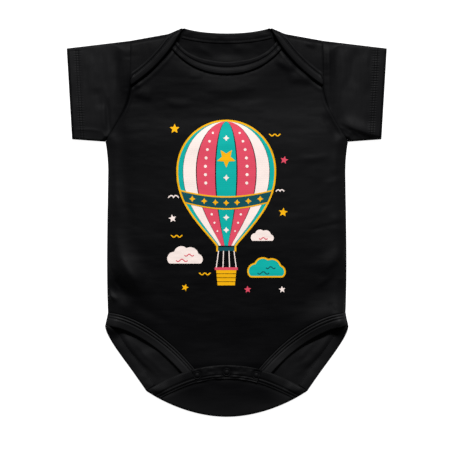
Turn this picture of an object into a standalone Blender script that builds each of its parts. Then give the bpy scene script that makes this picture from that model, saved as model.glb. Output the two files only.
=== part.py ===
"""Infant bodysuit with short sleeves, laid flat on its back with its snaps closed.

X runs across the chest, Y from the crotch up to the neck and Z up. The origin lies on the
resting surface, under the middle of the garment. "left" and "right" are the wearer's, so the
left side is at +X. Sizes are written in millimetres and turned to metres by MM.

The back panel lies flat. The front panel is a shallow dome over it, sewn down along its sides.
Each sleeve is a flattened tube. The back panel's shoulders fold forward as laps over the front,
and its lower end folds up over the front's crotch and is held there by snaps.
"""
import bpy
import bmesh
import numpy as np
from mathutils import Vector
from mathutils.geometry import interpolate_bezier

MM = 0.001
COLLECTION = "infant_bodysuit"

# Cloth and clearances
CLOTH = 1.2              # thickness of one layer, seam bulk included
BINDING = 1.5            # thickness of a folded binding strip
GAP = 0.3                # space kept between neighbouring pieces
SEAM_GAP = 0.4           # space kept along the armhole seams
LAP_GAP = 0.6            # space under the shoulder laps

# Height of the front panel's outer face
RIM_HEIGHT = 3.0         # along the closed edges
BODY_LOFT = 8.5          # added over the belly
SHOULDER_LOFT = 6.0      # added over the shoulders and sleeves
CROTCH_LOFT = 0.3        # added under the folded tail
LOFT_RUN = 34.0          # distance from a closed edge to the full loft
SHOULDER_SPAN = (70.0, 120.0)
CROTCH_SPAN = (-146.0, -80.0)

# Half outline of the garment, the left side of the body. A curve is its start, two handles and
# its end.
CUFF_TOP = (153.9, 167.9)
CUFF_BOTTOM = (148.7, 80.3)
SHOULDER_TIP = (92.5, 175.2)
SHOULDER_BREAK = (58.0, 181.4)
NECK_POINT = (41.0, 187.0)
BACK_NECK_CURVE = ((0.0, 182.1), (14.0, 182.1), (29.0, 183.4), NECK_POINT)
SHOULDER_CURVE = (SHOULDER_BREAK, (52.0, 182.6), (48.0, 186.6), NECK_POINT)
ARMHOLE_TURN = (92.5, 134.0)
UNDERARM = (116.8, 78.0)
ARMHOLE_CURVE = (UNDERARM, (104.0, 98.0), (92.5, 114.0), ARMHOLE_TURN)
WAIST = (114.3, 42.0)
HIP = (114.4, -86.5)
UPPER_SIDE_CURVE = (WAIST, (113.9, 56.0), (115.0, 68.0), UNDERARM)
LOWER_SIDE_CURVE = (HIP, (116.0, -50.0), (115.2, -10.0), WAIST)
LEG_CORNER = (117.0, -99.0)
FOLD_CORNER = (77.5, -162.0)
LEG_CURVE = (LEG_CORNER, (115.5, -113.0), (98.0, -131.0), FOLD_CORNER)
LOWER_FOLD_CURVE = (FOLD_CORNER, (62.0, -172.8), (32.0, -187.0), (0.0, -187.0))

# Front panel
NECK_HIDDEN_END = (59.0, 176.0)
NECKLINE_CURVE = ((0.0, 142.8), (26.0, 142.8), (45.0, 155.0), NECK_HIDDEN_END)
FRONT_SHOULDER = (91.9, 172.2)
CROTCH_MIDDLE = (0.0, -153.0)
CROTCH_CORNER = (21.0, -153.0)
LEG_SEAM_CURVE = (HIP, (85.0, -88.0), (50.0, -114.0), CROTCH_CORNER)
LEG_EDGE_CURVE = ((116.6, -98.8), (92.0, -101.0), (60.0, -122.0), (36.0, -153.0))
FRONT_ROWS = 25
FRONT_COLUMNS = 14

# Sleeves
SLEEVE_LENGTHWAYS = 8
SLEEVE_ACROSS = 9
SLEEVE_EDGE_INSET = 1.5  # the upper and under faces begin this far inside the folded edges

# Bindings, laps and tail
NECK_BINDING_WIDTH = 11.0
BACK_NECK_BINDING_WIDTH = 9.0
LAP_BINDING_WIDTH = 10.0
BACK_LEG_BINDING_WIDTH = 10.0
LAP_FOOT = (92.1, 131.8)
LAP_CURVE = ((43.0, 186.2), (52.0, 166.0), (70.0, 146.0), LAP_FOOT)
LAP_EDGE_MARGIN = 0.8    # the laps stop this far inside the shoulder line
LAP_SEAM_GAP = 0.8       # between a lap and its binding, measured up the garment
TAIL_TOP_CURVE = ((0.0, -136.7), (26.0, -136.7), (48.0, -144.0), (76.3, -161.0))
TAIL_SEAM_CURVE = ((0.0, -150.3), (24.0, -150.3), (40.0, -157.0), (65.0, -169.6))
TAIL_MARGIN = 0.8
TAIL_RISE = 2.8          # lift of the tail where it lies over the front
TAIL_RISE_SPAN = (46.0, 66.0)
TAIL_FOLD_RUN = 12.0
PLACKET_SHARE = 0.42     # share of the tail's half width that the snap placket takes

# Snaps
SNAP_RADIUS = 3.8
SNAP_HEIGHT = 2.0
SNAP_STEPS = 20
SNAP_PROFILE = (         # shares of the radius and of the height, from the top down
    (0.0, 1.0), (0.45, 0.86), (0.62, 0.45), (0.8, 0.6), (1.0, 0.35), (1.0, 0.0), (0.0, 0.0),
)
SNAP_PLACES = {"left": (28.4, -146.6), "middle": (0.0, -143.6), "right": (-28.4, -146.6)}

CURVE_STEPS = 14
STRIP_POINTS = 13        # points along a lap or half of the tail
NECK_POINTS = 12
BACK_NECK_POINTS = 8
LEG_POINTS = 14
BACK_LEG_POINTS = 12
MERGE = 0.00001          # metres
SHARP_ANGLE = 0.7        # radians
JERSEY_FINISH = ((0.012, 0.012, 0.013, 1.0), 0.9, 0.0)
RIB_FINISH = ((0.014, 0.014, 0.015, 1.0), 0.85, 0.0)
SNAP_FINISH = ((0.02, 0.02, 0.021, 1.0), 0.35, 0.6)


def clear_scene():
    """Remove whatever the file already holds."""
    for old in list(bpy.data.objects):
        bpy.data.objects.remove(old, do_unlink=True)


def new_material(name, finish):
    """A plain material from its colour, roughness and metallic share."""
    colour, roughness, metallic = finish
    material = bpy.data.materials.new(name)
    material.use_nodes = True
    shader = material.node_tree.nodes["Principled BSDF"]
    shader.inputs["Base Color"].default_value = colour
    shader.inputs["Roughness"].default_value = roughness
    shader.inputs["Metallic"].default_value = metallic
    return material


def arc(curve, steps=CURVE_STEPS):
    """Points along one cubic Bezier curve, both ends included."""
    knots = [Vector((x, y, 0.0)) for x, y in curve]
    return np.array([point[:2] for point in interpolate_bezier(*knots, steps + 1)])


def chain(*stretches):
    """One path from stretches that meet end to start, without the shared points."""
    return np.vstack([stretches[0]] + [stretch[1:] for stretch in stretches[1:]])


def line(start, end, steps=1):
    """Points along a straight stretch, both ends included."""
    share = np.linspace(0.0, 1.0, steps + 1)[:, None]
    return (1.0 - share) * np.array(start) + share * np.array(end)


def resample(path, count):
    """The path at equal distances, with its ends kept."""
    lengths = np.hypot(*np.diff(path, axis=0).T)
    along = np.concatenate(([0.0], np.cumsum(lengths)))
    wanted = np.linspace(0.0, along[-1], count)
    return np.column_stack([np.interp(wanted, along, path[:, k]) for k in (0, 1)])


def offset(path, distance):
    """The path moved sideways, to the left of its direction of travel."""
    travel = np.gradient(path, axis=0)
    travel /= np.hypot(*travel.T)[:, None]
    return path + distance * np.column_stack((-travel[:, 1], travel[:, 0]))


def cut_at(path, x):
    """The path up to where it crosses the given x."""
    kept = path[path[:, 0] < x]
    y = np.interp(x, path[:, 0], path[:, 1])
    return np.vstack((kept, (x, y)))


def smooth_step(value, low, high):
    """0 below low, 1 above high, and a smooth cubic in between."""
    share = np.clip((value - low) / (high - low), 0.0, 1.0)
    return share * share * (3.0 - 2.0 * share)


def armhole(steps=CURVE_STEPS):
    """The armhole seam from the underarm up to the shoulder."""
    return chain(arc(ARMHOLE_CURVE, steps), line(ARMHOLE_TURN, SHOULDER_TIP, steps=3))


def side_seam():
    """The side seam from the leg corner up to the underarm."""
    lower = arc(LOWER_SIDE_CURVE, steps=8)
    upper = arc(UPPER_SIDE_CURVE, steps=4)
    return chain(line(LEG_CORNER, HIP), lower, upper)


def shoulder_line():
    """The folded shoulder edge from its outer end to the neck point."""
    slope = line(SHOULDER_TIP, SHOULDER_BREAK, steps=3)
    return chain(slope, arc(SHOULDER_CURVE, steps=5))


def back_neck():
    """The back neckline from the middle to the neck point."""
    return arc(BACK_NECK_CURVE, steps=7)


def leg_edge():
    """The back panel's leg opening from the leg corner to the lower fold."""
    return arc(LEG_CURVE, steps=10)


def lower_fold():
    """The fold at the bottom, from the leg opening to the middle."""
    return arc(LOWER_FOLD_CURVE, steps=9)


def front_neckline():
    """Where the front panel meets its neck binding, from the middle to under the lap."""
    return arc(NECKLINE_CURVE)


def front_leg_seam():
    """Where the front panel meets its leg binding, from the side seam to the crotch."""
    return arc(LEG_SEAM_CURVE)


def front_leg_edge():
    """The free edge of the front leg binding, from the side seam to the crotch."""
    return arc(LEG_EDGE_CURVE)


def lap_edge():
    """The free edge of a shoulder lap from the neck point to the armhole."""
    return arc(LAP_CURVE)


def tail_top():
    """The free edge of the tail from the middle to the leg opening."""
    return arc(TAIL_TOP_CURVE)


def tail_seam():
    """Where the tail's cloth meets its binding, from the middle outwards."""
    return arc(TAIL_SEAM_CURVE)


def closed_edges():
    """Segments of the half outline where front and back are joined."""
    sleeve_top = line(CUFF_TOP, SHOULDER_TIP)
    sleeve_bottom = line(CUFF_BOTTOM, UNDERARM)
    paths = (chain(sleeve_top, shoulder_line()), sleeve_bottom, side_seam())
    starts = np.vstack([path[:-1] for path in paths])
    ends = np.vstack([path[1:] for path in paths])
    return starts, ends


def distance_inland(points):
    """Distance from each point to the nearest closed edge."""
    starts, ends = closed_edges()
    place = np.column_stack((np.abs(points[:, 0]), points[:, 1]))[:, None, :]
    run = ends - starts
    share = ((place - starts) * run).sum(axis=2) / (run * run).sum(axis=1)
    nearest = starts + np.clip(share, 0.0, 1.0)[:, :, None] * run
    return np.sqrt(((place - nearest) ** 2).sum(axis=2)).min(axis=1)


def front_height(points):
    """Height of the front's outer face: a parabola in from each closed edge, then level."""
    inland = np.clip(distance_inland(points) / LOFT_RUN, 0.0, 1.0)
    y = points[:, 1]
    swell = BODY_LOFT + (SHOULDER_LOFT - BODY_LOFT) * smooth_step(y, *SHOULDER_SPAN)
    swell = CROTCH_LOFT + (swell - CROTCH_LOFT) * smooth_step(y, *CROTCH_SPAN)
    return RIM_HEIGHT + swell * (1.0 - (1.0 - inland) ** 2)


def lap_height(points):
    """Height of a lap's outer face, clear of the front below it."""
    return front_height(points) + LAP_GAP + CLOTH


def tail_height(points):
    """Height of the tail's outer face: it climbs from the lower fold on to the front."""
    fold = lower_fold()
    depth = points[:, 1] - np.interp(np.abs(points[:, 0]), fold[::-1, 0], fold[::-1, 1])
    over_front = 1.0 - smooth_step(np.abs(points[:, 0]), *TAIL_RISE_SPAN)
    return RIM_HEIGHT + TAIL_RISE * over_front * smooth_step(depth, 0.0, TAIL_FOLD_RUN)


def lap_roof(x):
    """How far up the garment a lap may reach at each x, just inside the shoulder line."""
    shoulder = shoulder_line()[::-1]
    return np.interp(x, shoulder[:, 0], shoulder[:, 1]) - LAP_EDGE_MARGIN


def inner_face_height(points):
    """Height of a strip that lies on the back panel's inner face."""
    return np.full(len(points), CLOTH + GAP + CLOTH)


def patch(bottom, top, start, end):
    """A grid of points between four border paths, each border met exactly.

    bottom and top run the same way, and start and end join them at each end of that way.
    """
    u = np.linspace(0.0, 1.0, len(bottom))[None, :, None]
    v = np.linspace(0.0, 1.0, len(start))[:, None, None]
    across = (1.0 - v) * bottom[None] + v * top[None]
    upward = (1.0 - u) * start[:, None] + u * end[:, None]
    corners = ((1.0 - v) * ((1.0 - u) * bottom[0] + u * bottom[-1])
               + v * ((1.0 - u) * top[0] + u * top[-1]))
    return across + upward - corners


def ruled(bottom, top, rows):
    """A grid of straight rulings from one path to another."""
    share = np.linspace(0.0, 1.0, rows + 1)[:, None, None]
    return (1.0 - share) * bottom[None] + share * top[None]


def add_object(name, mesh, finish, collection):
    """Put a finished mesh into the collection as one object."""
    mesh.shade_smooth()
    mesh.set_sharp_from_angle(angle=SHARP_ANGLE)
    mesh.materials.append(new_material(name, finish))
    part = bpy.data.objects.new(name, mesh)
    collection.objects.link(part)
    return part


def thicken(part, thickness):
    """Give an open sheet its thickness, inwards from the modelled face."""
    solid = part.modifiers.new("Cloth", "SOLIDIFY")
    solid.thickness = thickness * MM
    solid.offset = -1.0
    solid.use_even_offset = True


def sheet_mesh(name, grid, heights, wrap=False):
    """An open surface over a grid of points; wrap joins the last column to the first."""
    rows, columns = grid.shape[:2]
    places = np.column_stack((grid.reshape(-1, 2), heights)) * MM
    mesh = bpy.data.meshes.new(name)
    build = bmesh.new()
    knots = [build.verts.new(place) for place in places]
    last = columns if wrap else columns - 1
    for row in range(rows - 1):
        for column in range(last):
            here, there = row * columns + column, row * columns + (column + 1) % columns
            build.faces.new([knots[k] for k in (here, there, there + columns, here + columns)])
    build.to_mesh(mesh)
    build.free()
    return mesh


def sheet(name, grid, height, thickness, finish, collection):
    """A cloth piece over a grid, its outer face at the given height."""
    heights = height(grid.reshape(-1, 2))
    part = add_object(name, sheet_mesh(name, grid, heights), finish, collection)
    thicken(part, thickness)
    return part


def mirrored(grid):
    """The grid reflected to the other side, still counter-clockwise from above."""
    return grid[:, ::-1] * np.array([-1.0, 1.0])


def pair(name, grid, height, thickness, finish, collection):
    """A left piece and its mirror image."""
    sheet(name + "_left", grid, height, thickness, finish, collection)
    sheet(name + "_right", mirrored(grid), height, thickness, finish, collection)


def both_halves(half):
    """A path or grid from the middle outwards, continued through the middle to the other side."""
    other = half[..., ::-1, :] * np.array([-1.0, 1.0])
    return np.concatenate((other, half[..., 1:, :]), axis=-2)


def make_back_panel(collection):
    """The back panel, a flat outline that lies on the resting surface."""
    half = chain(back_neck(), shoulder_line()[::-1], armhole()[::-1], side_seam()[::-1],
                 leg_edge(), lower_fold())
    loop = np.vstack((half, half[-2:0:-1] * np.array([-1.0, 1.0])))
    curve = bpy.data.curves.new("back_panel", "CURVE")
    curve.dimensions = "2D"
    curve.fill_mode = "BOTH"
    curve.extrude = 0.5 * CLOTH * MM
    spline = curve.splines.new("POLY")
    spline.points.add(len(loop) - 1)
    spline.use_cyclic_u = True
    for knot, (x, y) in zip(spline.points, loop):
        knot.co = (x * MM, y * MM, 0.0, 1.0)
    curve.materials.append(new_material("back_panel", JERSEY_FINISH))
    panel = bpy.data.objects.new("back_panel", curve)
    panel.location.z = 0.5 * CLOTH * MM
    collection.objects.link(panel)


def make_front_panel(collection):
    """The front panel: a half sheet open at the middle, mirrored and then thickened."""
    crotch = line(CROTCH_MIDDLE, CROTCH_CORNER)
    bottom = resample(chain(crotch, front_leg_seam()[::-1]), FRONT_COLUMNS)
    top = resample(chain(front_neckline(), line(NECK_HIDDEN_END, FRONT_SHOULDER)), FRONT_COLUMNS)
    middle = line(bottom[0], top[0], FRONT_ROWS - 1)
    seam = armhole()[:-1]
    border = chain(side_seam()[1:], seam, line(seam[-1], FRONT_SHOULDER))
    grid = patch(bottom, top, middle, resample(border, FRONT_ROWS))
    mesh = sheet_mesh("front_panel", grid, front_height(grid.reshape(-1, 2)))
    panel = add_object("front_panel", mesh, JERSEY_FINISH, collection)
    mirror = panel.modifiers.new("Other half", "MIRROR")
    mirror.merge_threshold = MERGE
    thicken(panel, CLOTH)


def make_sleeves(collection):
    """Each sleeve is a flattened tube, open at the cuff and at the armhole."""
    seam = armhole(steps=24) + np.array([SEAM_GAP, 0.0])
    heights_on_seam = np.linspace(seam[0, 1], seam[-1, 1], SLEEVE_ACROSS)
    seam = np.column_stack((np.interp(heights_on_seam, seam[:, 1], seam[:, 0]), heights_on_seam))
    cuff = line(CUFF_BOTTOM, CUFF_TOP, SLEEVE_ACROSS - 1)
    rulings = ruled(seam, cuff, SLEEVE_LENGTHWAYS - 1)
    inset = np.array([0.0, SLEEVE_EDGE_INSET])
    low_edge, high_edge = rulings[:, :1], rulings[:, -1:]
    face = np.concatenate((low_edge + inset, rulings[:, 1:-1], high_edge - inset), axis=1)
    section = np.concatenate((low_edge, face, high_edge, face[:, ::-1]), axis=1)
    under = np.zeros(face.shape[:2])
    middle = np.full((SLEEVE_LENGTHWAYS, 1), 0.5 * RIM_HEIGHT)
    over = front_height(face.reshape(-1, 2)).reshape(face.shape[:2])
    heights = np.concatenate((middle, under, middle, over[:, ::-1]), axis=1)
    for side, grid, rise in (("left", section, heights),
                             ("right", mirrored(section), heights[:, ::-1])):
        name = "sleeve_" + side
        mesh = sheet_mesh(name, grid, rise.reshape(-1), wrap=True)
        thicken(add_object(name, mesh, JERSEY_FINISH, collection), CLOTH)


def make_shoulder_laps(collection):
    """The back panel's shoulders, folded forward over the front, each with its binding."""
    edge = resample(lap_edge(), STRIP_POINTS)
    inner = cut_at(offset(lap_edge(), LAP_BINDING_WIDTH), LAP_FOOT[0])
    inner = resample(inner, STRIP_POINTS)
    below = inner[:, 1] < lap_roof(inner[:, 0]) - LAP_EDGE_MARGIN
    edge[:, 1] = np.minimum(edge[:, 1], lap_roof(edge[:, 0]))
    inner[:, 1] = np.minimum(inner[:, 1], lap_roof(inner[:, 0]))
    pair("lap_binding", ruled(edge, inner, 2), lap_height, CLOTH, RIB_FINISH, collection)
    seam = inner[below] + np.array([0.0, LAP_SEAM_GAP])
    reach = np.linspace(seam[0, 0], LAP_FOOT[0], len(seam))
    top = np.column_stack((reach, lap_roof(reach)))
    pair("shoulder_lap", ruled(seam, top, 5), lap_height, CLOTH, JERSEY_FINISH, collection)


def make_neck_bindings(collection):
    """The binding of the front neckline, and the one inside the back neck."""
    outer = both_halves(resample(offset(front_neckline(), GAP), NECK_POINTS))
    inner = both_halves(resample(offset(front_neckline(), NECK_BINDING_WIDTH), NECK_POINTS))
    middle = len(inner) // 2
    outer[middle, 0] = inner[middle, 0] = 0.0
    sheet("neck_binding_front", ruled(outer, inner, 2), front_height, BINDING, RIB_FINISH,
          collection)
    top = both_halves(resample(back_neck(), BACK_NECK_POINTS))
    below = resample(offset(back_neck(), -BACK_NECK_BINDING_WIDTH), BACK_NECK_POINTS)
    below = both_halves(below)
    sheet("neck_binding_back", ruled(below, top, 1), inner_face_height, CLOTH, RIB_FINISH,
          collection)


def make_leg_bindings(collection):
    """The bindings of the leg openings, on the front's edge and inside the back's edge."""
    seam = resample(offset(front_leg_seam(), GAP), LEG_POINTS)
    edge = resample(front_leg_edge(), LEG_POINTS)
    pair("leg_binding_front", ruled(seam, edge, 2), front_height, BINDING, RIB_FINISH,
         collection)
    rim = resample(leg_edge(), BACK_LEG_POINTS)
    inside = resample(offset(leg_edge(), -BACK_LEG_BINDING_WIDTH), BACK_LEG_POINTS)
    pair("leg_binding_back", ruled(rim[1:-1], inside[1:-1], 1)[:, ::-1], inner_face_height,
         CLOTH, RIB_FINISH, collection)


def make_tail(collection):
    """The folded-up end of the back panel, its leg bindings and the snap placket."""
    seam = resample(tail_seam(), STRIP_POINTS)
    fold = lower_fold()[::-1]
    cloth_top = seam[:-1] - np.array([0.0, GAP])
    reach = cloth_top[:, 0]
    rim = np.column_stack((reach, np.interp(reach, fold[:, 0], fold[:, 1]) + TAIL_MARGIN))
    sheet("crotch_tail", ruled(both_halves(rim), both_halves(cloth_top), 4), tail_height, CLOTH,
          JERSEY_FINISH, collection)
    top = resample(tail_top(), STRIP_POINTS)
    strip = ruled(seam, top, 2)
    split = int(PLACKET_SHARE * len(seam))
    sheet("snap_placket", both_halves(strip[:, :split + 1]), tail_height, CLOTH, RIB_FINISH,
          collection)
    outer = strip[:, split:] + np.array([GAP, 0.0])
    outer[:, -1] -= np.array([GAP, 0.0])
    pair("tail_binding", outer, tail_height, CLOTH, RIB_FINISH, collection)


def make_snaps(collection):
    """Three domed snap caps standing on the placket, each a turned profile."""
    profile = [(r * SNAP_RADIUS * MM, 0.0, z * SNAP_HEIGHT * MM) for r, z in SNAP_PROFILE]
    edges = [(k, k + 1) for k in range(len(profile) - 1)]
    for place, (x, y) in SNAP_PLACES.items():
        name = "snap_" + place
        mesh = bpy.data.meshes.new(name)
        mesh.from_pydata(profile, edges, [])
        cap = add_object(name, mesh, SNAP_FINISH, collection)
        seat = tail_height(np.array([[x, y]]))[0] + GAP
        cap.location = (x * MM, y * MM, seat * MM)
        turn = cap.modifiers.new("Turned", "SCREW")
        turn.steps = turn.render_steps = SNAP_STEPS
        turn.use_merge_vertices = True
        turn.merge_threshold = MERGE


def main():
    """Build every piece of the garment."""
    clear_scene()
    collection = bpy.data.collections.new(COLLECTION)
    bpy.context.scene.collection.children.link(collection)
    make_back_panel(collection)
    make_front_panel(collection)
    make_sleeves(collection)
    make_shoulder_laps(collection)
    make_neck_bindings(collection)
    make_leg_bindings(collection)
    make_tail(collection)
    make_snaps(collection)


main()
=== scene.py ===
"""Infant bodysuit in black cotton jersey, laid flat on its back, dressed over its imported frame.

X runs across the chest with the wearer's left at +X, Y runs from the crotch up to the neck and Z
up. Garment sizes are written in millimetres in the frame's own axes and turned to metres by MM.
A bracket in a note, such as (n, 2), is an array's shape.
"""
from __future__ import annotations

import logging
from dataclasses import dataclass, field
from enum import Enum
from typing import Any, Callable, Sequence

import bmesh
import bpy
import numpy as np
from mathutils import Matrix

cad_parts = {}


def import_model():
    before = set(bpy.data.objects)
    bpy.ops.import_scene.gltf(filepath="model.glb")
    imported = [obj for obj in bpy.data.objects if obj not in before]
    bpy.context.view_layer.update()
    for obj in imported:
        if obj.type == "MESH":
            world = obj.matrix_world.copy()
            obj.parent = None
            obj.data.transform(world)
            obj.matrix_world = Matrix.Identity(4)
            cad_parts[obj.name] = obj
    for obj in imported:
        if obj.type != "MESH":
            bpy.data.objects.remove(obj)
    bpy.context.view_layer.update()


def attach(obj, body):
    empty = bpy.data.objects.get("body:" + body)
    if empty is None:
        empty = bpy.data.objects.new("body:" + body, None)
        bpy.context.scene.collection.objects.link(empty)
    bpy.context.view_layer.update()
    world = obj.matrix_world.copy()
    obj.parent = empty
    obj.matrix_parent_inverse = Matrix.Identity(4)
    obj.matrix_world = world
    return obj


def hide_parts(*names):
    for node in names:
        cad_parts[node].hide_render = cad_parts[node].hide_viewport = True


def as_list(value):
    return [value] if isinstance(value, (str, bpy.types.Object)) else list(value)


MM = 0.001
BODY = "root"
CLOTH = 0.8
WAVE_SCALE = 0.3142  # the wave texture's scale for one wave a unit

Array = np.ndarray
Knot = tuple[float, float]
Ripple = tuple[float, Knot, int]
Support = Callable[[Array], Array]
Socket = bpy.types.NodeSocket
Tree = bpy.types.NodeTree

log = logging.getLogger("bodysuit")


# --- Lines and fields in the plane of the garment ---


def bezier(knots: Sequence[Knot], steps: int = 36) -> Array:
    """A cubic Bezier: each of four knots weighted by its Bernstein polynomial.

    Args:
        knots: start, two handles and end.
        steps: number of stretches.

    Returns:
        Points (steps + 1, 2).
    """
    t = np.linspace(0.0, 1.0, steps + 1)[:, None]
    weights = np.hstack(((1 - t) ** 3, 3 * t * (1 - t) ** 2, 3 * t * t * (1 - t), t**3))
    return weights @ np.array(knots, dtype=float)


def straight(start: Knot, end: Knot, steps: int = 8) -> Array:
    """Points along a straight stretch, both ends included."""
    share = np.linspace(0.0, 1.0, steps + 1)[:, None]
    return (1.0 - share) * np.array(start) + share * np.array(end)


def chain(*stretches: Array) -> Array:
    """One path from stretches that meet end to start, without the shared points."""
    return np.vstack([stretches[0]] + [stretch[1:] for stretch in stretches[1:]])


def along(path: Array) -> Array:
    """The distance travelled at each point of a path."""
    return np.concatenate(([0.0], np.cumsum(np.linalg.norm(np.diff(path, axis=0), axis=1))))


def resample(path: Array, shares: Array | int) -> Array:
    """The path's points at shares of its length, or at a number of even shares.

    Args:
        path: points of any dimension.
        shares: shares from 0 to 1, or how many even ones.

    Returns:
        One point for each share.
    """
    if isinstance(shares, int):
        shares = np.linspace(0.0, 1.0, shares)
    run = along(path)
    return np.column_stack([np.interp(shares * run[-1], run, part) for part in path.T])


def offset(path: Array, distance: Array | float) -> Array:
    """The path moved sideways, to the left of its direction of travel.

    Args:
        path: points (n, 2).
        distance: one distance, or one for each point.

    Returns:
        The moved points.
    """
    travel = np.gradient(path, axis=0)
    travel /= np.linalg.norm(travel, axis=1)[:, None]
    left = np.column_stack((-travel[:, 1], travel[:, 0]))
    return path + np.reshape(distance, (-1, 1)) * left


def mirrored(path: Array) -> Array:
    """The path or grid on the other side of the middle line."""
    return path * np.array([-1.0, 1.0])


def both_halves(half: Array) -> Array:
    """A path or grid from the middle outwards, continued through the middle."""
    return np.concatenate((mirrored(half[..., ::-1, :]), half[..., 1:, :]), axis=-2)


def folded(points: Array) -> Array:
    """The points' places on the wearer's left half."""
    return np.column_stack((np.abs(points[:, 0]), points[:, 1]))


def centred(path: Array) -> Array:
    """The path with its first point put on the middle line."""
    path[0, 0] = 0.0
    return path


def ease(value: Array, low: float, high: float) -> Array:
    """A smooth step: 3 s^2 - 2 s^3, with s the share of the way from low to high."""
    share = np.clip((value - low) / (high - low), 0.0, 1.0)
    return share * share * (3.0 - 2.0 * share)


def bell(gap: Array, spread: Array | float, power: int = 2) -> Array:
    """A bell curve of a distance, 1 in the middle and 1/e at the spread."""
    return np.exp(-((gap / spread) ** power))


def nearest(points: Array, path: Array) -> tuple[Array, Array, Array]:
    """How far each point is from a path.

    The foot of the perpendicular on each segment is held within it, and the closest one counts.

    Args:
        points: points (n, 2).
        path: a path (m, 2).

    Returns:
        The distance, the share of the path at the closest place, and the side, 1 for the left.
    """
    start, run = path[:-1], np.diff(path, axis=0)
    gap = points[:, None, :] - start
    share = np.clip((gap * run).sum(axis=2) / (run * run).sum(axis=1), 0.0, 1.0)
    distance = np.linalg.norm(gap - share[:, :, None] * run, axis=2)
    best, row = distance.argmin(axis=1), np.arange(len(points))
    travelled = along(path)
    place = (travelled[best] + share[row, best] * np.diff(travelled)[best]) / travelled[-1]
    cross = run[best, 0] * gap[row, best, 1] - run[best, 1] * gap[row, best, 0]
    return distance[row, best], place, np.where(cross >= 0.0, 1.0, -1.0)


def waves(points: Array, cell: Knot, seed: int, size: int = 64) -> Array:
    """Smooth random waves from -1 to 1.

    Random heights on a lattice of the given cell are joined by smooth steps both ways.

    Args:
        points: places (n, 2).
        cell: the lattice's spacing along X and Y.
        seed: seed of the random heights.
        size: cells each way before the lattice repeats.

    Returns:
        One value for each point.
    """
    lattice = np.random.default_rng(seed).uniform(-1.0, 1.0, (size, size))
    place = points / np.array(cell) + 0.5 * size
    whole = np.floor(place).astype(int)
    part = ease(place - whole, 0.0, 1.0)
    i, j = whole.T % size
    beside, over = (i + 1) % size, (j + 1) % size
    low = lattice[i, j] * (1 - part[:, 0]) + lattice[beside, j] * part[:, 0]
    high = lattice[i, over] * (1 - part[:, 0]) + lattice[beside, over] * part[:, 0]
    return low * (1 - part[:, 1]) + high * part[:, 1]


def ripples(points: Array, layers: Sequence[Ripple]) -> Array:
    """Layers of random waves added up, each with its height, its cell and its seed."""
    return sum(height * waves(points, cell, seed) for height, cell, seed in layers)


def crowded(count: int, low: float = 0.0, high: float = 0.0, steps: int = 6) -> Array:
    """Even shares of a span, crowded towards its ends as on a quarter circle.

    Within the share low of the start, and high of the end, the spacing is 1 - cos of even angles.

    Args:
        count: number of even shares.
        low: share of the span that is crowded at its start.
        high: share of the span that is crowded at its end.
        steps: number of crowded stretches at each end.

    Returns:
        Rising shares from 0 to 1.
    """
    bend = 1.0 - np.cos(np.linspace(0.0, 0.5 * np.pi, steps + 1))
    start = low * bend[:-1] if low else []
    end = 1.0 - high * bend[-2::-1] if high else []
    return np.concatenate((start, np.linspace(low, 1.0 - high, count), end))


def coons(low: Array, high: Array, left: Array, right: Array, a: Array, b: Array) -> Array:
    """A Coons patch: the two ruled surfaces between facing borders, less the corners' blend.

    Args:
        low: border points (n, 2), at b = 0.
        high: the facing border, at b = 1.
        left: border points (m, 2), at a = 0.
        right: the facing border, at a = 1.
        a: a share for each point of low and high.
        b: a share for each point of left and right.

    Returns:
        Points (m, n, 2).
    """
    a, b = a[None, :, None], b[:, None, None]
    corners = (1 - b) * ((1 - a) * low[0] + a * low[-1]) + b * ((1 - a) * high[0] + a * high[-1])
    return (1 - b) * low + b * high + (1 - a) * left[:, None] + a * right[:, None] - corners


def ruled(start: Array, end: Array, shares: Array) -> Array:
    """A grid of straight rulings from one path to another, cut at the given shares."""
    share = shares[:, None, None]
    return (1.0 - share) * start[None] + share * end[None]


def rolled(inland: Array, run: float) -> Array:
    """A quarter circle from 0 at the edge to 1 at the given distance from it."""
    short = 1.0 - np.clip(inland / run, 0.0, 1.0)
    return np.sqrt(1.0 - short * short)


def pressed(inland: Array, run: Array | float) -> Array:
    """A quarter sine from 0 at a pressed edge to 1 at the given distance from it."""
    return np.sin(0.5 * np.pi * np.clip(inland / run, 0.0, 1.0))


# --- The cut of the garment ---


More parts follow.
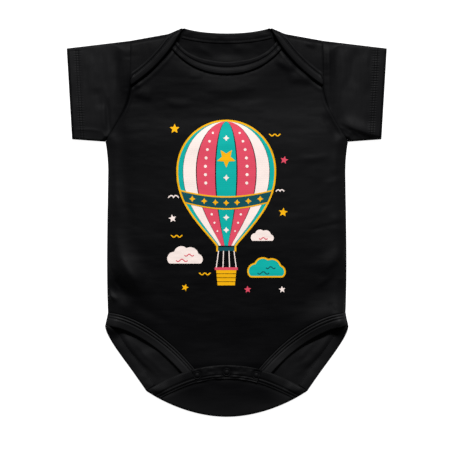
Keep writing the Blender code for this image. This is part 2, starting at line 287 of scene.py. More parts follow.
@dataclass(frozen=True)
class Draft:
    """The drafted lines of the half garment on the wearer's left.

    Each line is a path (n, 2).
    """

    back_neck_knots: tuple[Knot, ...] = ((0, 182.1), (14, 182.1), (29, 183.4), (41, 187))
    shoulder_knots: tuple[Knot, ...] = ((58, 181.4), (52, 182.6), (48, 186.6), (41, 187))
    shoulder_tip: Knot = (92.5, 175.2)
    armhole_knots: tuple[Knot, ...] = ((116.8, 78), (104, 98), (92.5, 114), (92.5, 134))
    hip_knots: tuple[Knot, ...] = ((114.4, -86.5), (116, -50), (115.2, -10), (114.3, 42))
    waist_knots: tuple[Knot, ...] = ((114.3, 42), (113.9, 56), (115, 68), (116.8, 78))
    leg_corner: Knot = (117, -99)
    leg_knots: tuple[Knot, ...] = ((117, -99), (115.5, -113), (98, -131), (77.5, -162))
    fold_knots: tuple[Knot, ...] = ((77.5, -162), (62, -172.8), (32, -187), (0, -187))
    cuff_top: Knot = (153.9, 167.9)
    cuff_bottom: Knot = (148.7, 80.3)
    neckline_knots: tuple[Knot, ...] = ((0, 142.8), (26, 142.8), (45, 155), (59, 176))
    front_shoulder: Knot = (91.9, 172.2)
    leg_seam_knots: tuple[Knot, ...] = ((114.4, -86.5), (85, -88), (50, -114), (21, -153))
    leg_edge_knots: tuple[Knot, ...] = ((116.6, -98.8), (92, -101), (60, -122), (36, -153))
    lap_knots: tuple[Knot, ...] = ((43, 186.2), (52, 166), (70, 146), (92.1, 131.8))
    tail_top_knots: tuple[Knot, ...] = ((0, -136.7), (26, -136.7), (48, -144), (76.3, -161))
    tail_seam_knots: tuple[Knot, ...] = ((0, -150.3), (24, -150.3), (40, -157), (65, -169.6))
    crotch: Knot = (21, -153)

    def shoulder(self) -> Array:
        """The folded shoulder edge from its outer end to the neck point."""
        slope = straight(self.shoulder_tip, self.shoulder_knots[0])
        return chain(slope, bezier(self.shoulder_knots, 12))

    def armhole(self) -> Array:
        """The armhole seam from the underarm up to the shoulder."""
        upper = straight(self.armhole_knots[-1], self.shoulder_tip)
        return chain(bezier(self.armhole_knots), upper)

    def side(self) -> Array:
        """The side seam from the leg corner up to the underarm."""
        low = straight(self.leg_corner, self.hip_knots[0], 4)
        return chain(low, bezier(self.hip_knots, 16), bezier(self.waist_knots, 8))

    def sleeve_top(self) -> Array:
        """The folded top edge of the sleeve, from the cuff to the shoulder."""
        return straight(self.cuff_top, self.shoulder_tip, 4)

    def sleeve_bottom(self) -> Array:
        """The underarm seam of the sleeve, from the cuff to the body."""
        return straight(self.cuff_bottom, self.armhole_knots[0], 4)

    def inland(self, points: Array) -> Array:
        """Distance from each point to the nearest edge where front and back are joined."""
        edges = (chain(self.sleeve_top(), self.shoulder()), self.sleeve_bottom(), self.side())
        return np.min([nearest(folded(points), edge)[0] for edge in edges], axis=0)

    def under_shoulder(self, path: Array, drop: float) -> Array:
        """Keep a lap's path short of the armhole and below the shoulder fold.

        Args:
            path: points (n, 2), which are moved.
            drop: how far below the fold the path stays.

        Returns:
            The same path.
        """
        shoulder = self.shoulder()[::-1]
        roof = np.interp(path[:, 0], shoulder[:, 0], shoulder[:, 1])
        path[:, 1] = np.minimum(path[:, 1], roof - drop)
        path[:, 0] = np.minimum(path[:, 0], self.shoulder_tip[0])
        return path


@dataclass(frozen=True)
class Fold:
    """One soft fold: a smooth ridge along a spine, or a hollow if its height is negative."""

    spine: tuple[Knot, ...]
    height: float
    spread: float
    lean: float = 0.0
    fade: Knot = (0.33, 0.33)

    def lift(self, points: Array) -> Array:
        """How far the fold raises each point.

        Across the spine it is a bell curve, steeper on the left side by the share lean, and
        towards each end of the spine it fades by a smooth step over its own share of the length.

        Args:
            points: places (n, 2).

        Returns:
            Heights.
        """
        knots = self.spine
        path = bezier(knots, 14) if len(knots) == 4 else np.array(knots, dtype=float)
        gap, place, side = nearest(points, path)
        fade = ease(place, -0.02, self.fade[0]) * ease(1.0 - place, -0.02, self.fade[1])
        return self.height * fade * bell(gap, self.spread * (1.0 - self.lean * side))


BODY_FOLDS: tuple[Fold, ...] = (
    # the right hip: a broad lit crest, the hollow under it, a thin crease and a pucker at the side
    Fold(((-112, 4), (-107, -22), (-100, -45), (-73, -74)), 5.0, 9.2, -0.1, (0.6, 0.3)),
    Fold(((-111, -53), (-106, -60), (-99, -66), (-89, -74)), -2.4, 6.6, 0.24),
    Fold(((-108, -26), (-104, -42), (-94, -50), (-76, -56)), 1.7, 7.5, 0.0, (0.45, 0.4)),
    Fold(((-124, -28), (-115, -37), (-109, -45), (-106, -52)), 2.4, 3.4),
    Fold(((-114, -50), (-110, -56), (-107, -61), (-103, -66)), 1.0, 1.3),
    Fold(((-128, -56), (-114, -68), (-105, -77)), 4.0, 2.7),
    Fold(((-106, -76), (-100, -80), (-92, -84)), 0.4, 3.0),
    Fold(((-92, -74), (-80, -84), (-66, -92), (-48, -97)), -0.8, 5.0),
    # the left hip: a crest, the dark dimple and crease under it, and a broad lit rise to the leg
    Fold(((134, -17), (116, -28), (104, -33), (87, -51)), 2.8, 7.0, 0.36),
    Fold(((105, -40), (100, -50), (95, -57), (83, -61)), 0.9, 4.5, 0.4),
    Fold(((128, -54), (114, -54), (104, -55)), 1.3, 2.8),
    Fold(((150, -76), (128, -84), (98, -97), (56, -122)), 6.4, 12.0, 0.4),
    Fold(((97, -76), (101, -82), (105, -87)), -0.9, 1.6),
    Fold(((124, -72), (111, -74)), -1.4, 2.2),
    # slack at the left side seam
    Fold(((132, 12), (118, 5), (108, 3), (94, 4)), 1.3, 4.4, -0.1),
    Fold(((132, -4), (118, -6), (108, -7), (96, -5)), 0.9, 4.4),
    Fold(((118, 45), (110, 43), (102, 39), (92, 36)), 0.6, 3.4),
    Fold(((114, 0), (102, -1), (92, -4), (76, -8)), -0.4, 1.6),
    Fold(((104, 20), (98, 17), (92, 15), (86, 15)), -0.35, 2.4),
    Fold(((102, 66), (90, 62), (78, 60), (66, 62)), 0.6, 3.0),
    # ledges under the ends of the laps, long above and steep below
    Fold(((-90, 132), (-82, 131)), 0.7, 4.0, -0.45),
    Fold(((-90, 124), (-84, 123), (-78, 121), (-70, 120)), 1.1, 5.5, -0.45),
    Fold(((-60, 118), (-50, 112), (-42, 112), (-32, 116)), 0.6, 4.0, -0.3),
    Fold(((58, 136), (66, 139), (72, 139), (82, 134)), 1.7, 6.5, -0.45),
    Fold(((46, 157), (52, 154), (58, 149), (66, 145)), 1.2, 5.0, -0.4),
    # slack under the neckline
    Fold(((-38, 140), (-33, 139.6), (-28, 139.6), (-22, 141)), 0.45, 3.0, -0.6),
    Fold(((-24, 129), (-4, 125), (14, 126), (32, 132)), 0.8, 5.0, -0.3),
    Fold(((-16, 118), (4, 115), (24, 118), (40, 124)), -0.5, 4.0),
    # long shallow rolls down the sides of the body
    Fold(((-108, 74), (-110, 50), (-108, 20), (-102, -4)), 1.6, 5.5),
    Fold(((-98, 66), (-100, 44), (-98, 16), (-92, -8)), -0.9, 6.0),
    Fold(((106, 72), (104, 56), (105, 48), (106, 44)), 1.0, 5.0),
)

SLEEVE_FOLDS: tuple[Fold, ...] = (
    # the left sleeve: the seam's allowance, the valley behind it, a broad diagonal and its pleats
    Fold(((98.0, 176), (97.6, 158), (97.6, 132), (98.4, 112)), 0.6, 1.9),
    Fold(((105.0, 176), (105.0, 152), (105.0, 130), (107, 116)), -0.6, 3.2),
    Fold(((107, 100), (119, 90), (134, 87), (156, 81)), 3.4, 5.6, -0.4),
    Fold(((107, 92), (112, 91), (117, 88), (122, 83)), 0.6, 1.8),
    Fold(((118, 89), (122, 87), (127, 84), (132, 81)), 0.5, 1.6),
    Fold(((124, 170), (122, 152), (120, 138), (118, 128)), -0.9, 4.0),
    Fold(((132, 166), (134, 150), (132, 136), (134, 122)), 0.8, 4.5),
    Fold(((112, 168), (113, 152), (112, 138), (112, 128)), 0.6, 3.0),
    # the left armhole's lower half stands up as a rib, with a hollow on the body beside it
    Fold(((95, 116), (99, 107), (106, 94), (114, 81)), 1.5, 1.5),
    Fold(((92, 106), (96, 97), (101, 88), (107, 78)), -1.5, 4.0, -0.3),
    # the right sleeve: soft creases down its length
    Fold(((-114.5, 122), (-115, 110), (-114, 98), (-113, 84)), -1.4, 2.0),
    Fold(((-118.5, 120), (-119, 108), (-118, 98), (-117, 86)), 0.6, 2.4),
    Fold(((-126, 130), (-124, 122), (-121, 114), (-119, 108)), -1.1, 4.4),
    Fold(((-132, 166), (-131, 150), (-132, 136), (-130, 122)), 0.9, 4.5),
    Fold(((-106, 166), (-106, 150), (-107, 138), (-106, 126)), -1.1, 3.4),
    Fold(((-150, 89), (-140, 90), (-128, 90), (-118, 87)), 0.5, 1.8),
    Fold(((-141, 160), (-142, 146), (-140, 132), (-141, 118)), -0.6, 2.6),
)

INSIDE_FOLDS: tuple[Fold, ...] = (
    # the back's inner face, seen in the neck: a low swell, with irregular creases over it
    Fold(((-60, 150), (-20, 144), (20, 144), (60, 150)), 1.5, 14.0),
    Fold(((-30, 170), (-24, 168), (-18, 164), (-12, 160)), 0.6, 2.2),
    Fold(((-10, 166), (0, 161), (8, 161), (20, 162)), -0.35, 2.0),
    Fold(((2, 168), (10, 169), (18, 168), (26, 167)), 0.5, 2.4),
    Fold(((-24, 157), (-8, 154), (4, 154), (22, 158)), 0.25, 2.6),
    Fold(((-34, 163), (-28, 159), (-24, 156), (-18, 152)), -0.5, 1.8),
    # the corners of the leg openings, where the cloth falls steeply away from the side seam
    Fold(((126, -100), (113, -101.5), (102, -105)), 2.4, 5.0),
    Fold(((-126, -100), (-113, -101.5), (-102, -105)), 2.4, 5.0),
    # seen in the leg openings: a swell beside the binding, steep towards it, and creases
    Fold(((104, -102), (94, -120), (82, -134), (64, -148)), 1.5, 3.2, 0.45),
    Fold(((-104, -102), (-94, -120), (-82, -134), (-64, -148)), 1.5, 3.2, -0.45),
    Fold(((-104, -108), (-90, -117), (-76, -127), (-62, -140)), 1.4, 8.0),
    Fold(((104, -108), (90, -117), (76, -127), (62, -140)), 1.4, 8.0),
    Fold(((-92, -112), (-84, -119), (-78, -127), (-74, -137)), 0.7, 1.8),
    Fold(((-84, -124), (-76, -128), (-68, -136), (-60, -146)), 0.6, 1.8),
    Fold(((92, -112), (82, -116), (74, -124), (66, -136)), 0.7, 1.8),
    Fold(((84, -128), (76, -134), (70, -138), (62, -140)), 0.6, 1.8),
)

@dataclass(frozen=True)
class Mark:
    """A ridge, or a furrow if its height is negative, that runs at a distance from a line."""

    height: float
    place: float
    spread: float

    def lift(self, gap: Array) -> Array:
        """Its height at the given distances from the line."""
        return self.height * bell(gap - self.place, self.spread)


ARMHOLE_RIB = Mark(0.45, 2.1, 1.1)
NECK_DIP = Mark(-1.0, 0.0, 7.0)
NECK_FURROW = Mark(-0.9, 0.0, 1.6)
LAP_RIDGE = Mark(0.5, 4.4, 1.7)
LAP_FURROW = Mark(-1.3, 0.0, 1.9)
TAIL_FURROW = Mark(-0.7, 0.0, 1.5)

SNAP_PLACES: dict[str, Knot] = {
    "snap_left": (28.4, -146.6), "snap_middle": (0.0, -143.6), "snap_right": (-28.4, -146.6),
}
LAP_SMUDGE = Fold(((74, 172), (80, 171), (86, 168)), 0.7, 3.2, -0.4)
TAIL_TUCK = Fold(((54, -157), (64, -161), (78, -162)), 1.5, 4.4, -0.3)

# layers of slack in the cloth: height, cell along X and Y, seed
BODY_SLACK: tuple[Ripple, ...] = (
    (0.13, (22, 5), 4), (0.09, (8, 3), 9), (0.3, (40, 20), 21), (0.16, (14, 11), 23))
ARM_SLACK: tuple[Ripple, ...] = (
    (0.20, (4.6, 22), 14), (0.14, (3, 9), 15), (0.55, (15, 34), 27), (0.2, (9, 8), 29))
LAP_SLACK: tuple[Ripple, ...] = ((0.35, (13, 17), 31), (0.16, (4, 12), 33))
TAIL_SLACK: tuple[Ripple, ...] = ((0.22, (19, 6), 41),)
TAIL_TIP_SLACK: tuple[Ripple, ...] = ((0.25, (7, 6), 43),)
BACK_SLACK: tuple[Ripple, ...] = ((0.35, (15, 6), 51), (0.2, (6, 4), 53))
PLACKET_PUCKERS: tuple[Ripple, ...] = ((0.7, (7.5, 4.6), 61), (0.35, (3.4, 2.6), 63))
HEM_UNEVENNESS: tuple[Ripple, ...] = ((0.4, (40, 17), 71),)


@dataclass(frozen=True)
class Relief:
    """Heights of the garment's layers over the surface it lies on.

    Every method takes places (n, 2) and returns one value for each.
    """

    draft: Draft = field(default_factory=Draft)
    seam_height: float = 0.9
    rim_height: float = 2.4
    rim_run: float = 11.0
    rim_share: float = 0.3
    body_loft: float = 8.5
    shoulder_loft: float = 4.8
    sleeve_loft: float = 3.4
    sleeve_run: float = 1.5
    arm_reach: Knot = (96.0, 112.0)
    arm_span: Knot = (76.0, 90.0)
    underarm_reach: Knot = (114.0, 121.0)
    underarm_span: Knot = (70.0, 77.0)
    crotch_loft: float = 1.6
    loft_run: float = 34.0
    shoulder_span: Knot = (70.0, 120.0)
    crotch_span: Knot = (-150.0, -86.0)
    quiet_span: Knot = (-150.0, -128.0)
    fold_run: float = 3.5
    lap_rise: float = 2.0
    lap_run: float = 5.0
    lap_seam_span: Knot = (91.0, 93.0)
    lap_shared_span: Knot = (80.0, 91.0)
    tail_height: float = 3.0
    tail_rise: float = 2.6
    tail_rise_span: Knot = (46.0, 66.0)
    tail_run: float = 2.4
    tail_climb: float = 26.0
    tail_calm: float = 6.0
    seam_depth: float = 1.0
    seam_spread: float = 1.0
    faint_span: Knot = (128.0, 142.0)
    faint_left: float = 0.75
    neck_span: Knot = (120.0, 138.0)
    leg_drop: float = 4.0
    leg_drop_run: float = 11.0
    leg_quiet: float = 0.75
    leg_span: Knot = (-156.0, -112.0)
    leg_reach: Knot = (98.0, 110.0)
    inside_rise: float = 0.5
    inside_calm: Knot = (2.0, 8.0)
    snap_dent: float = 1.4
    snap_dent_spread: float = 4.9

    @property
    def radius(self) -> float:
        """The radius of the shoulder fold."""
        return 0.5 * (self.rim_height + self.lap_rise)

    def on_sleeve(self, points: Array) -> Array:
        """Share of each place that belongs to a sleeve, blended over the armhole.

        Args:
            points: flat places, (n, 2).

        Returns:
            nought on the body to one on a sleeve, (n,).
        """
        reach, y = folded(points).T
        outer = ease(reach, *self.underarm_reach) * ease(y, *self.underarm_span)
        return np.maximum(ease(reach, *self.arm_reach) * ease(y, *self.arm_span), outer)

    def edge_run(self, points: Array) -> Array:
        """How far in from a joined edge its rounding reaches: the sleeves are pressed flatter."""
        return self.rim_run + (self.sleeve_run - self.rim_run) * self.on_sleeve(points)

    def swell(self, points: Array) -> Array:
        """How high the front swells over its edges, less at sleeves, shoulders and crotch.

        Args:
            points: flat places, (n, 2).

        Returns:
            heights, (n,).
        """
        y = points[:, 1]
        high = self.body_loft + (self.shoulder_loft - self.body_loft) * ease(y, *self.shoulder_span)
        high = high + (self.sleeve_loft - high) * self.on_sleeve(points)
        return self.crotch_loft + (high - self.crotch_loft) * ease(y, *self.crotch_span)

    def loft(self, points: Array, inland: Array, run: Array | float) -> Array:
        """The swell in from a joined edge: a rolled part of it at once, the rest as a parabola.

        Args:
            points: flat places, (n, 2).
            inland: distances from the joined edge.
            run: how far in it is rounded.

        Returns:
            heights, (n,).
        """
        far = 1.0 - (1.0 - np.clip(inland / self.loft_run, 0.0, 1.0)) ** 2
        shape = self.rim_share * pressed(inland, run) + (1.0 - self.rim_share) * far
        return self.swell(points) * shape

    def settled(self, points: Array) -> Array:
        """Share by which the front rests on the back beside the leg openings.

        Args:
            points: flat places, (n, 2).

        Returns:
            nought to one at each place, (n,).
        """
        place = folded(points)
        gap = nearest(place, bezier(self.draft.leg_edge_knots))[0]
        free = ease(place[:, 1], *self.leg_span) * (1.0 - ease(place[:, 0], *self.leg_reach))
        return free * bell(gap, self.leg_drop_run)

    def armhole_furrow(self, points: Array) -> Array:
        """The furrow along the armhole seam, faint beside the laps, and the rib inside it.

        Args:
            points: flat places, (n, 2).

        Returns:
            heights, (n,).
        """
        place = folded(points)
        gap, share, side = nearest(place, self.draft.armhole())
        faint = np.where(points[:, 0] > 0.0, self.faint_left, 1.0)
        faint = faint * ease(place[:, 1], *self.faint_span)
        rib = ARMHOLE_RIB.lift(gap) * ease(share, 0.0, 0.1) * (side > 0)
        return rib - self.seam_depth * (1.0 - faint) * bell(gap, self.seam_spread)

    def seams(self, points: Array) -> Array:
        """The marks of the armhole and neck seams and of the laps' edges on the front.

        Args:
            points: flat places, (n, 2).

        Returns:
            heights, (n,).
        """
        place = folded(points)
        gap, _, side = nearest(place, bezier(self.draft.neckline_knots))
        neck = np.where(side > 0, NECK_DIP.height, NECK_DIP.lift(gap) + NECK_FURROW.lift(gap))
        neck = neck * ease(place[:, 1], *self.neck_span)
        gap = nearest(place, bezier(self.draft.lap_knots))[0]
        lap = LAP_RIDGE.lift(gap) + LAP_FURROW.lift(gap)
        lap = lap * (1.0 - ease(place[:, 0], *self.lap_seam_span))
        return self.armhole_furrow(points) + neck + lap

    def creases(self, points: Array) -> Array:
        """The folds of the front and sleeves, with cross ripples on the one, long on the others.

        Args:
            points: flat places, (n, 2).

        Returns:
            heights, (n,).
        """
        sleeve = self.on_sleeve(points)
        slack = ripples(points, BODY_SLACK) * (1.0 - sleeve) + ripples(points, ARM_SLACK) * sleeve
        return sum(fold.lift(points) for fold in BODY_FOLDS + SLEEVE_FOLDS) + slack

    def front(self, points: Array) -> Array:
        """The front's and the sleeves' outer face.

        The joined edge's rounding, the loft, the seams' furrows, the folds and the slack are
        summed. Folds and furrows fade out towards a joined edge and at the crotch.

        Args:
            points: flat places, (n, 2).

        Returns:
            heights, (n,).
        """
        inland, run = self.draft.inland(points), self.edge_run(points)
        rim = self.seam_height + (self.rim_height - self.seam_height) * pressed(inland, run)
        settled = self.settled(points)
        folds = self.creases(points) * (1.0 - self.leg_quiet * settled) + self.seams(points)
        free = ease(inland, 0.0, self.fold_run) * ease(points[:, 1], *self.quiet_span)
        return rim + self.loft(points, inland, run) + (folds - self.leg_drop * settled) * free

    def lap(self, points: Array) -> Array:
        """The shoulder laps' outer face, which rolls down to the shoulder fold.

        Args:
            points: flat places, (n, 2).

        Returns:
            heights, (n,).
        """
        inland = self.draft.inland(points)
        roll = self.radius * (1.0 + pressed(inland, self.lap_run))
        own = ripples(points, LAP_SLACK) + LAP_SMUDGE.lift(points)
        shared = ease(np.abs(points[:, 0]), *self.lap_shared_span)
        ripple = own * (1.0 - shared) + self.creases(points) * shared + self.armhole_furrow(points)
        loft = self.loft(points, inland, self.lap_run)
        return roll + loft + ripple * ease(inland, 0.0, self.lap_run)

    def back(self, points: Array) -> Array:
        """The back's outer face: it lies flat, and curls up into the shoulder and lower folds.

        Args:
            points: flat places, (n, 2).

        Returns:
            heights, (n,).
        """
        at_shoulder = nearest(folded(points), self.draft.shoulder())[0]
        at_fold = nearest(folded(points), bezier(self.draft.fold_knots))[0]
        curl = self.radius * (1.0 - rolled(at_shoulder, self.lap_run))
        tuck = 0.5 * self.tail_height * (1.0 - rolled(at_fold, self.tail_run))
        folds = sum(fold.lift(points) for fold in INSIDE_FOLDS) + ripples(points, BACK_SLACK)
        calm = ease(at_fold, *self.inside_calm) * ease(at_shoulder, *self.inside_calm)
        return curl + tuck + np.maximum(folds + self.inside_rise, 0.0) * calm

    def inside(self, points: Array) -> Array:
        """The back's inner face, one cloth above its outer face."""
        return self.back(points) + CLOTH

    def tail(self, points: Array) -> Array:
        """The tail's outer face: it rolls up at the lower fold and climbs on to the front.

        Args:
            points: flat places, (n, 2).

        Returns:
            heights, (n,).
        """
        place = folded(points)
        depth = nearest(place, bezier(self.draft.fold_knots))[0]
        seam = nearest(place, bezier(self.draft.tail_seam_knots))[0]
        over = 1.0 - ease(place[:, 0], *self.tail_rise_span)
        roll = 0.5 * self.tail_height * (1.0 + rolled(depth, self.tail_run))
        climb = self.tail_rise * over * ease(depth, 0.0, self.tail_climb)
        ripple = ripples(points, TAIL_SLACK) + ripples(points, TAIL_TIP_SLACK) * (1.0 - over)
        ripple = ripple + TAIL_TUCK.lift(place) + TAIL_FURROW.lift(seam)
        return roll + climb + ripple * ease(depth, 0.0, self.tail_calm)

    def placket(self, points: Array) -> Array:
        """The tail under the placket: dimpled round each snap and puckered in between.

        Args:
            points: flat places, (n, 2).

        Returns:
            heights, (n,).
        """
        gaps = [np.linalg.norm(points - np.array(place), axis=1) for place in SNAP_PLACES.values()]
        dent = self.snap_dent * bell(np.min(gaps, axis=0), self.snap_dent_spread, 4)
        return self.tail(points) + ripples(points, PLACKET_PUCKERS) - dent


# --- Finishes ---


def linear(code: str) -> tuple[float, float, float, float]:
    """An sRGB hex colour as linear red, green, blue and alpha.

    Args:
        code: the colour as # and six hex digits.

    Returns:
        four numbers from nought to one.
    """
    parts = np.array([int(code[k : k + 2], 16) / 255.0 for k in (1, 3, 5)])
    low, high = parts / 12.92, ((parts + 0.055) / 1.055) ** 2.4
    red, green, blue = np.where(parts <= 0.04045, low, high).tolist()
    return red, green, blue, 1.0


def add_node(
    tree: Tree, kind: str, links: dict[Any, Any] | None = None, out: str | int = 0, **settings: Any
) -> Socket | None:
    """Add one node to a tree.

    Args:
        tree: the material's or world's node tree.
        kind: the node's type.
        links: a value or socket for each input, by name or index.
        out: the output that is wanted, by name or index.
        settings: properties of the node itself.

    Returns:
        The wanted output, or nothing if the node has no outputs.
    """
    node = tree.nodes.new(kind)
    for name, value in settings.items():
        setattr(node, name, value)
    for socket, value in (links or {}).items():
        if isinstance(value, Socket):
            tree.links.new(value, node.inputs[socket])
        else:
            node.inputs[socket].default_value = value
    return node.outputs[out] if node.outputs else None


def noise(tree: Tree, place: Socket, scale: float, **inputs: float) -> Socket:
    """Noise from 0 to 1 at each place; its other inputs go by name."""
    return add_node(tree, "ShaderNodeTexNoise", {"Vector": place, "Scale": scale, **inputs}, "Fac")


def spread(tree: Tree, value: Socket, low: float, high: float, span: Knot = (0.0, 1.0)) -> Socket:
    """A value within a span, moved in proportion to between low and high."""
    ends = {"From Min": span[0], "From Max": span[1], "To Min": low, "To Max": high}
    return add_node(tree, "ShaderNodeMapRange", {"Value": value, **ends})


def total(tree: Tree, first: Socket, second: Socket, clamp: bool = False) -> Socket:
    """The sum of two values, held between 0 and 1 if asked."""
    terms = {0: first, 1: second}
    return add_node(tree, "ShaderNodeMath", terms, operation="ADD", use_clamp=clamp)


def blend(tree: Tree, share: Socket, first: Sequence[float], second: Sequence[float]) -> Socket:
    """Two colours mixed by a share."""
    colours = {"Factor": share, 6: first, 7: second}
    return add_node(tree, "ShaderNodeMix", colours, 2, data_type="RGBA")


def rows(tree: Tree, place: Socket, pitch: float, axis: str, **inputs: Any) -> Socket:
    """Parallel waves of the given pitch along an axis; names of inputs use _ for a space.

    Args:
        tree: the node tree.
        place: the coordinate's output.
        pitch: distance from wave to wave.
        axis: the axis they are counted along.
        inputs: the wave's other inputs.

    Returns:
        the waves' output.
    """
    names = {name.replace("_", " "): value for name, value in inputs.items()}
    links = {"Vector": place, "Scale": WAVE_SCALE / pitch, **names}
    return add_node(tree, "ShaderNodeTexWave", links, "Fac", bands_direction=axis)


def surface(
    tree: Tree, colour: Any, roughness: Any, level: float, more: dict[str, Any] | None = None
) -> Socket:
    """A surface shader.

    Args:
        tree: the node tree.
        colour: its base colour or that colour's socket.
        roughness: its roughness or that roughness's socket.
        level: how strongly it mirrors.
        more: further inputs by name.

    Returns:
        The shader's output.
    """
    links = {"Base Color": colour, "Roughness": roughness, "Specular IOR Level": level}
    return add_node(tree, "ShaderNodeBsdfPrincipled", {**links, **(more or {})})


def bump(tree: Tree, height: Socket, strength: float, distance: float) -> Socket:
    """The normals of a surface with the given height."""
    links = {"Height": height, "Strength": strength, "Distance": distance}
    return add_node(tree, "ShaderNodeBump", links)


def object_place(tree: Tree) -> Socket:
    """The place in the piece's own axes, in metres."""
    return add_node(tree, "ShaderNodeTexCoord", out="Object")


@dataclass(frozen=True)
class Finish:
    """A real material; each kind draws its own node tree."""

    name: str
    slot: str

    def draw(self, tree: Tree) -> Socket:
        """Add the nodes and return the shader's output."""
        raise NotImplementedError

    def material(self) -> bpy.types.Material:
        """The Blender material, made on first use.

        Returns:
            the material, the same one at each call.
        """
        found = bpy.data.materials.get(self.name)
        if found is None:
            found = bpy.data.materials.new(self.name)
            found.use_nodes = True
            found.node_tree.nodes.clear()
            links = {"Surface": self.draw(found.node_tree)}
            add_node(found.node_tree, "ShaderNodeOutputMaterial", links)
        return found


@dataclass(frozen=True)
class Knit(Finish):
    """Reactive-dyed black cotton knit.

    Short fibre ends soften every highlight and catch a little light at a grazing angle. Dye
    takes unevenly along the courses, so faint streaks run across the cloth. Painted light and
    shade blend it from its deep colour to a paler one, more in some places than others.
    """

    # the deep colour, and the paler colour towards which painted light blends the cloth
    deep: str = "#020203"
    painted_light_tone: str = "#131314"
    course: float = 0.65
    wale: float = 0.8
    relief: float = 0.22
    depth: float = 0.12
    roughness: float = 0.55
    level: float = 0.045
    sheen: float = 0.003
    uneven: float = 0.09
    streak: tuple[float, float, float] = (0.05, 0.5, 1.0)
    blotch: tuple[float, float, float] = (0.03, 0.05, 1.0)

    def draw(self, tree: Tree) -> Socket:
        """Courses and wales as waves of the cloth's own map, streaks as noise, added to the painted
        light and shade that the mesh carries.

        Args:
            tree: the node tree.

        Returns:
            the shader's output.
        """
        cloth = add_node(tree, "ShaderNodeUVMap", uv_map="cloth")
        dye = []
        for scale, detail, rough in ((self.streak, 3.0, 0.6), (self.blotch, 2.0, 0.5)):
            place = add_node(tree, "ShaderNodeMapping", {"Vector": cloth, "Scale": scale})
            dye.append(noise(tree, place, 1.0, Detail=detail, Roughness=rough))
        dyed = spread(tree, total(tree, *dye), -self.uneven, self.uneven, (0.7, 1.3))
        # painted light and shade: the share by which the cloth is painted paler at each place, set
        # on the mesh
        fade = add_node(tree, "ShaderNodeAttribute", out="Fac", attribute_name="painted_light")
        share = total(tree, fade, dyed, clamp=True)
        colour = blend(tree, share, linear(self.deep), linear(self.painted_light_tone))
        loops = total(tree, *(
            rows(tree, cloth, pitch, axis, Distortion=bend, Detail=1.0, Detail_Scale=0.6)
            for pitch, axis, bend in ((self.course, "Y", 1.2), (self.wale, "X", 0.5))))
        normal = bump(tree, loops, self.relief, self.depth * MM)
        return surface(tree, colour, self.roughness, self.level, {
            "Normal": normal, "Sheen Weight": self.sheen, "Sheen Roughness": 0.45})


@dataclass(frozen=True)
class Plain(Finish):
    """One colour throughout, and a roughness that varies from place to place."""

    colour: str = "#000000"
    level: float = 0.0
    grain: float = 1000.0
    gloss: Knot = (0.5, 0.5)

    def draw(self, tree: Tree) -> Socket:
        """One colour, with its roughness varied by a fine noise."""
        gloss = spread(tree, noise(tree, object_place(tree), self.grain), *self.gloss)
        return surface(tree, linear(self.colour), gloss, self.level)


@dataclass(frozen=True)
class Thread(Plain):
    """Black spun polyester sewing thread, with its twist as fine noise in its roughness."""

    colour: str = "#040405"
    level: float = 0.01
    grain: float = 2500.0
    gloss: Knot = (0.65, 0.85)


@dataclass(frozen=True)
class PaintedBrass(Plain):
    """Brass ring snap, stamped and stove-painted black: a satin film of uneven thickness."""

    colour: str = "#070708"
    level: float = 0.05
    grain: float = 900.0
    gloss: Knot = (0.5, 0.65)


@dataclass(frozen=True)
class Ink(Finish):
    """Screen-printed plastisol ink, heat cured: even and satin, with the knit showing through."""

    colour: str = "#ffffff"
    thinned: float = 0.86
    row: float = 1.9

    def draw(self, tree: Tree) -> Socket:
        """One flat colour, thinned very slightly in patches, over the knit's rows.

        Args:
            tree: the node tree.

        Returns:
            the shader's output.
        """
        place = object_place(tree)
        amount = spread(tree, noise(tree, place, 260.0, Detail=3.0), 0.0, 0.07, (0.35, 0.65))
        full = linear(self.colour)
        thin = tuple(self.thinned * part for part in full[:3]) + (1.0,)
        knit = rows(tree, place, self.row * MM, "Y", Distortion=1.2)
        return surface(tree, blend(tree, amount, full, thin), 0.68, 0.1, {
            "Normal": bump(tree, knit, 0.15, 0.1 * MM)})


@dataclass(frozen=True)
class LightTable(Finish):
    """White opal acrylic, sanded matt, lit from below: the glow keeps shadows off its surface."""

    glow: float = 0.95
    spill: float = 0.1

    def draw(self, tree: Tree) -> Socket:
        """An even white, with a louvre film that sends most of the glow up to the camera.

        Args:
            tree: the node tree.

        Returns:
            the shader's output.
        """
        marks = noise(tree, object_place(tree), 3.0)
        tone = blend(tree, marks, linear("#888888"), linear("#8a8a8a"))
        seen = add_node(tree, "ShaderNodeLightPath", out="Is Camera Ray")
        return surface(tree, tone, 0.95, 0.0, {
            "Emission Color": linear("#ffffff"),
            "Emission Strength": spread(tree, seen, self.spill, self.glow)})


JERSEY = Knit("cotton jersey, reactive dyed", "jersey")
RIB = Knit("cotton rib knit, reactive dyed", "binding", deep="#060607", painted_light_tone="#19191a",
           course=1.6, wale=1.6, relief=0.3)
THREAD = Thread("spun polyester thread", "binding")
SNAP = PaintedBrass("brass snap, stove painted", "snap")
BOARD = LightTable("opal acrylic light table, sanded", "")


class InkColour(Enum):
    """The screen inks of the chest print."""

    TEAL = "#009890"
    DEEP = "#06424a"
    AMBER = "#d69c00"
    CORAL = "#c34155"
    CREAM = "#dccdc7"

    def finish(self) -> Ink:
        """The ink as a finish."""
        return Ink(f"plastisol ink, {self.name.lower()}", "jersey", self.value)


# --- Meshes ---


Ramp = tuple[str, float, float]

# painted light and shade along the garment's middle: how pale the cloth is painted at each Y
PAINTED_LIGHT_ALONG: tuple[Knot, ...] = (
    (-190, 0.46), (-150, 0.44), (-118, 0.34), (-92, 0.10), (-40, 0.09), (30, 0.42), (95, 0.32),
    (138, 0.25), (156, 0.03), (190, 0.0),
)

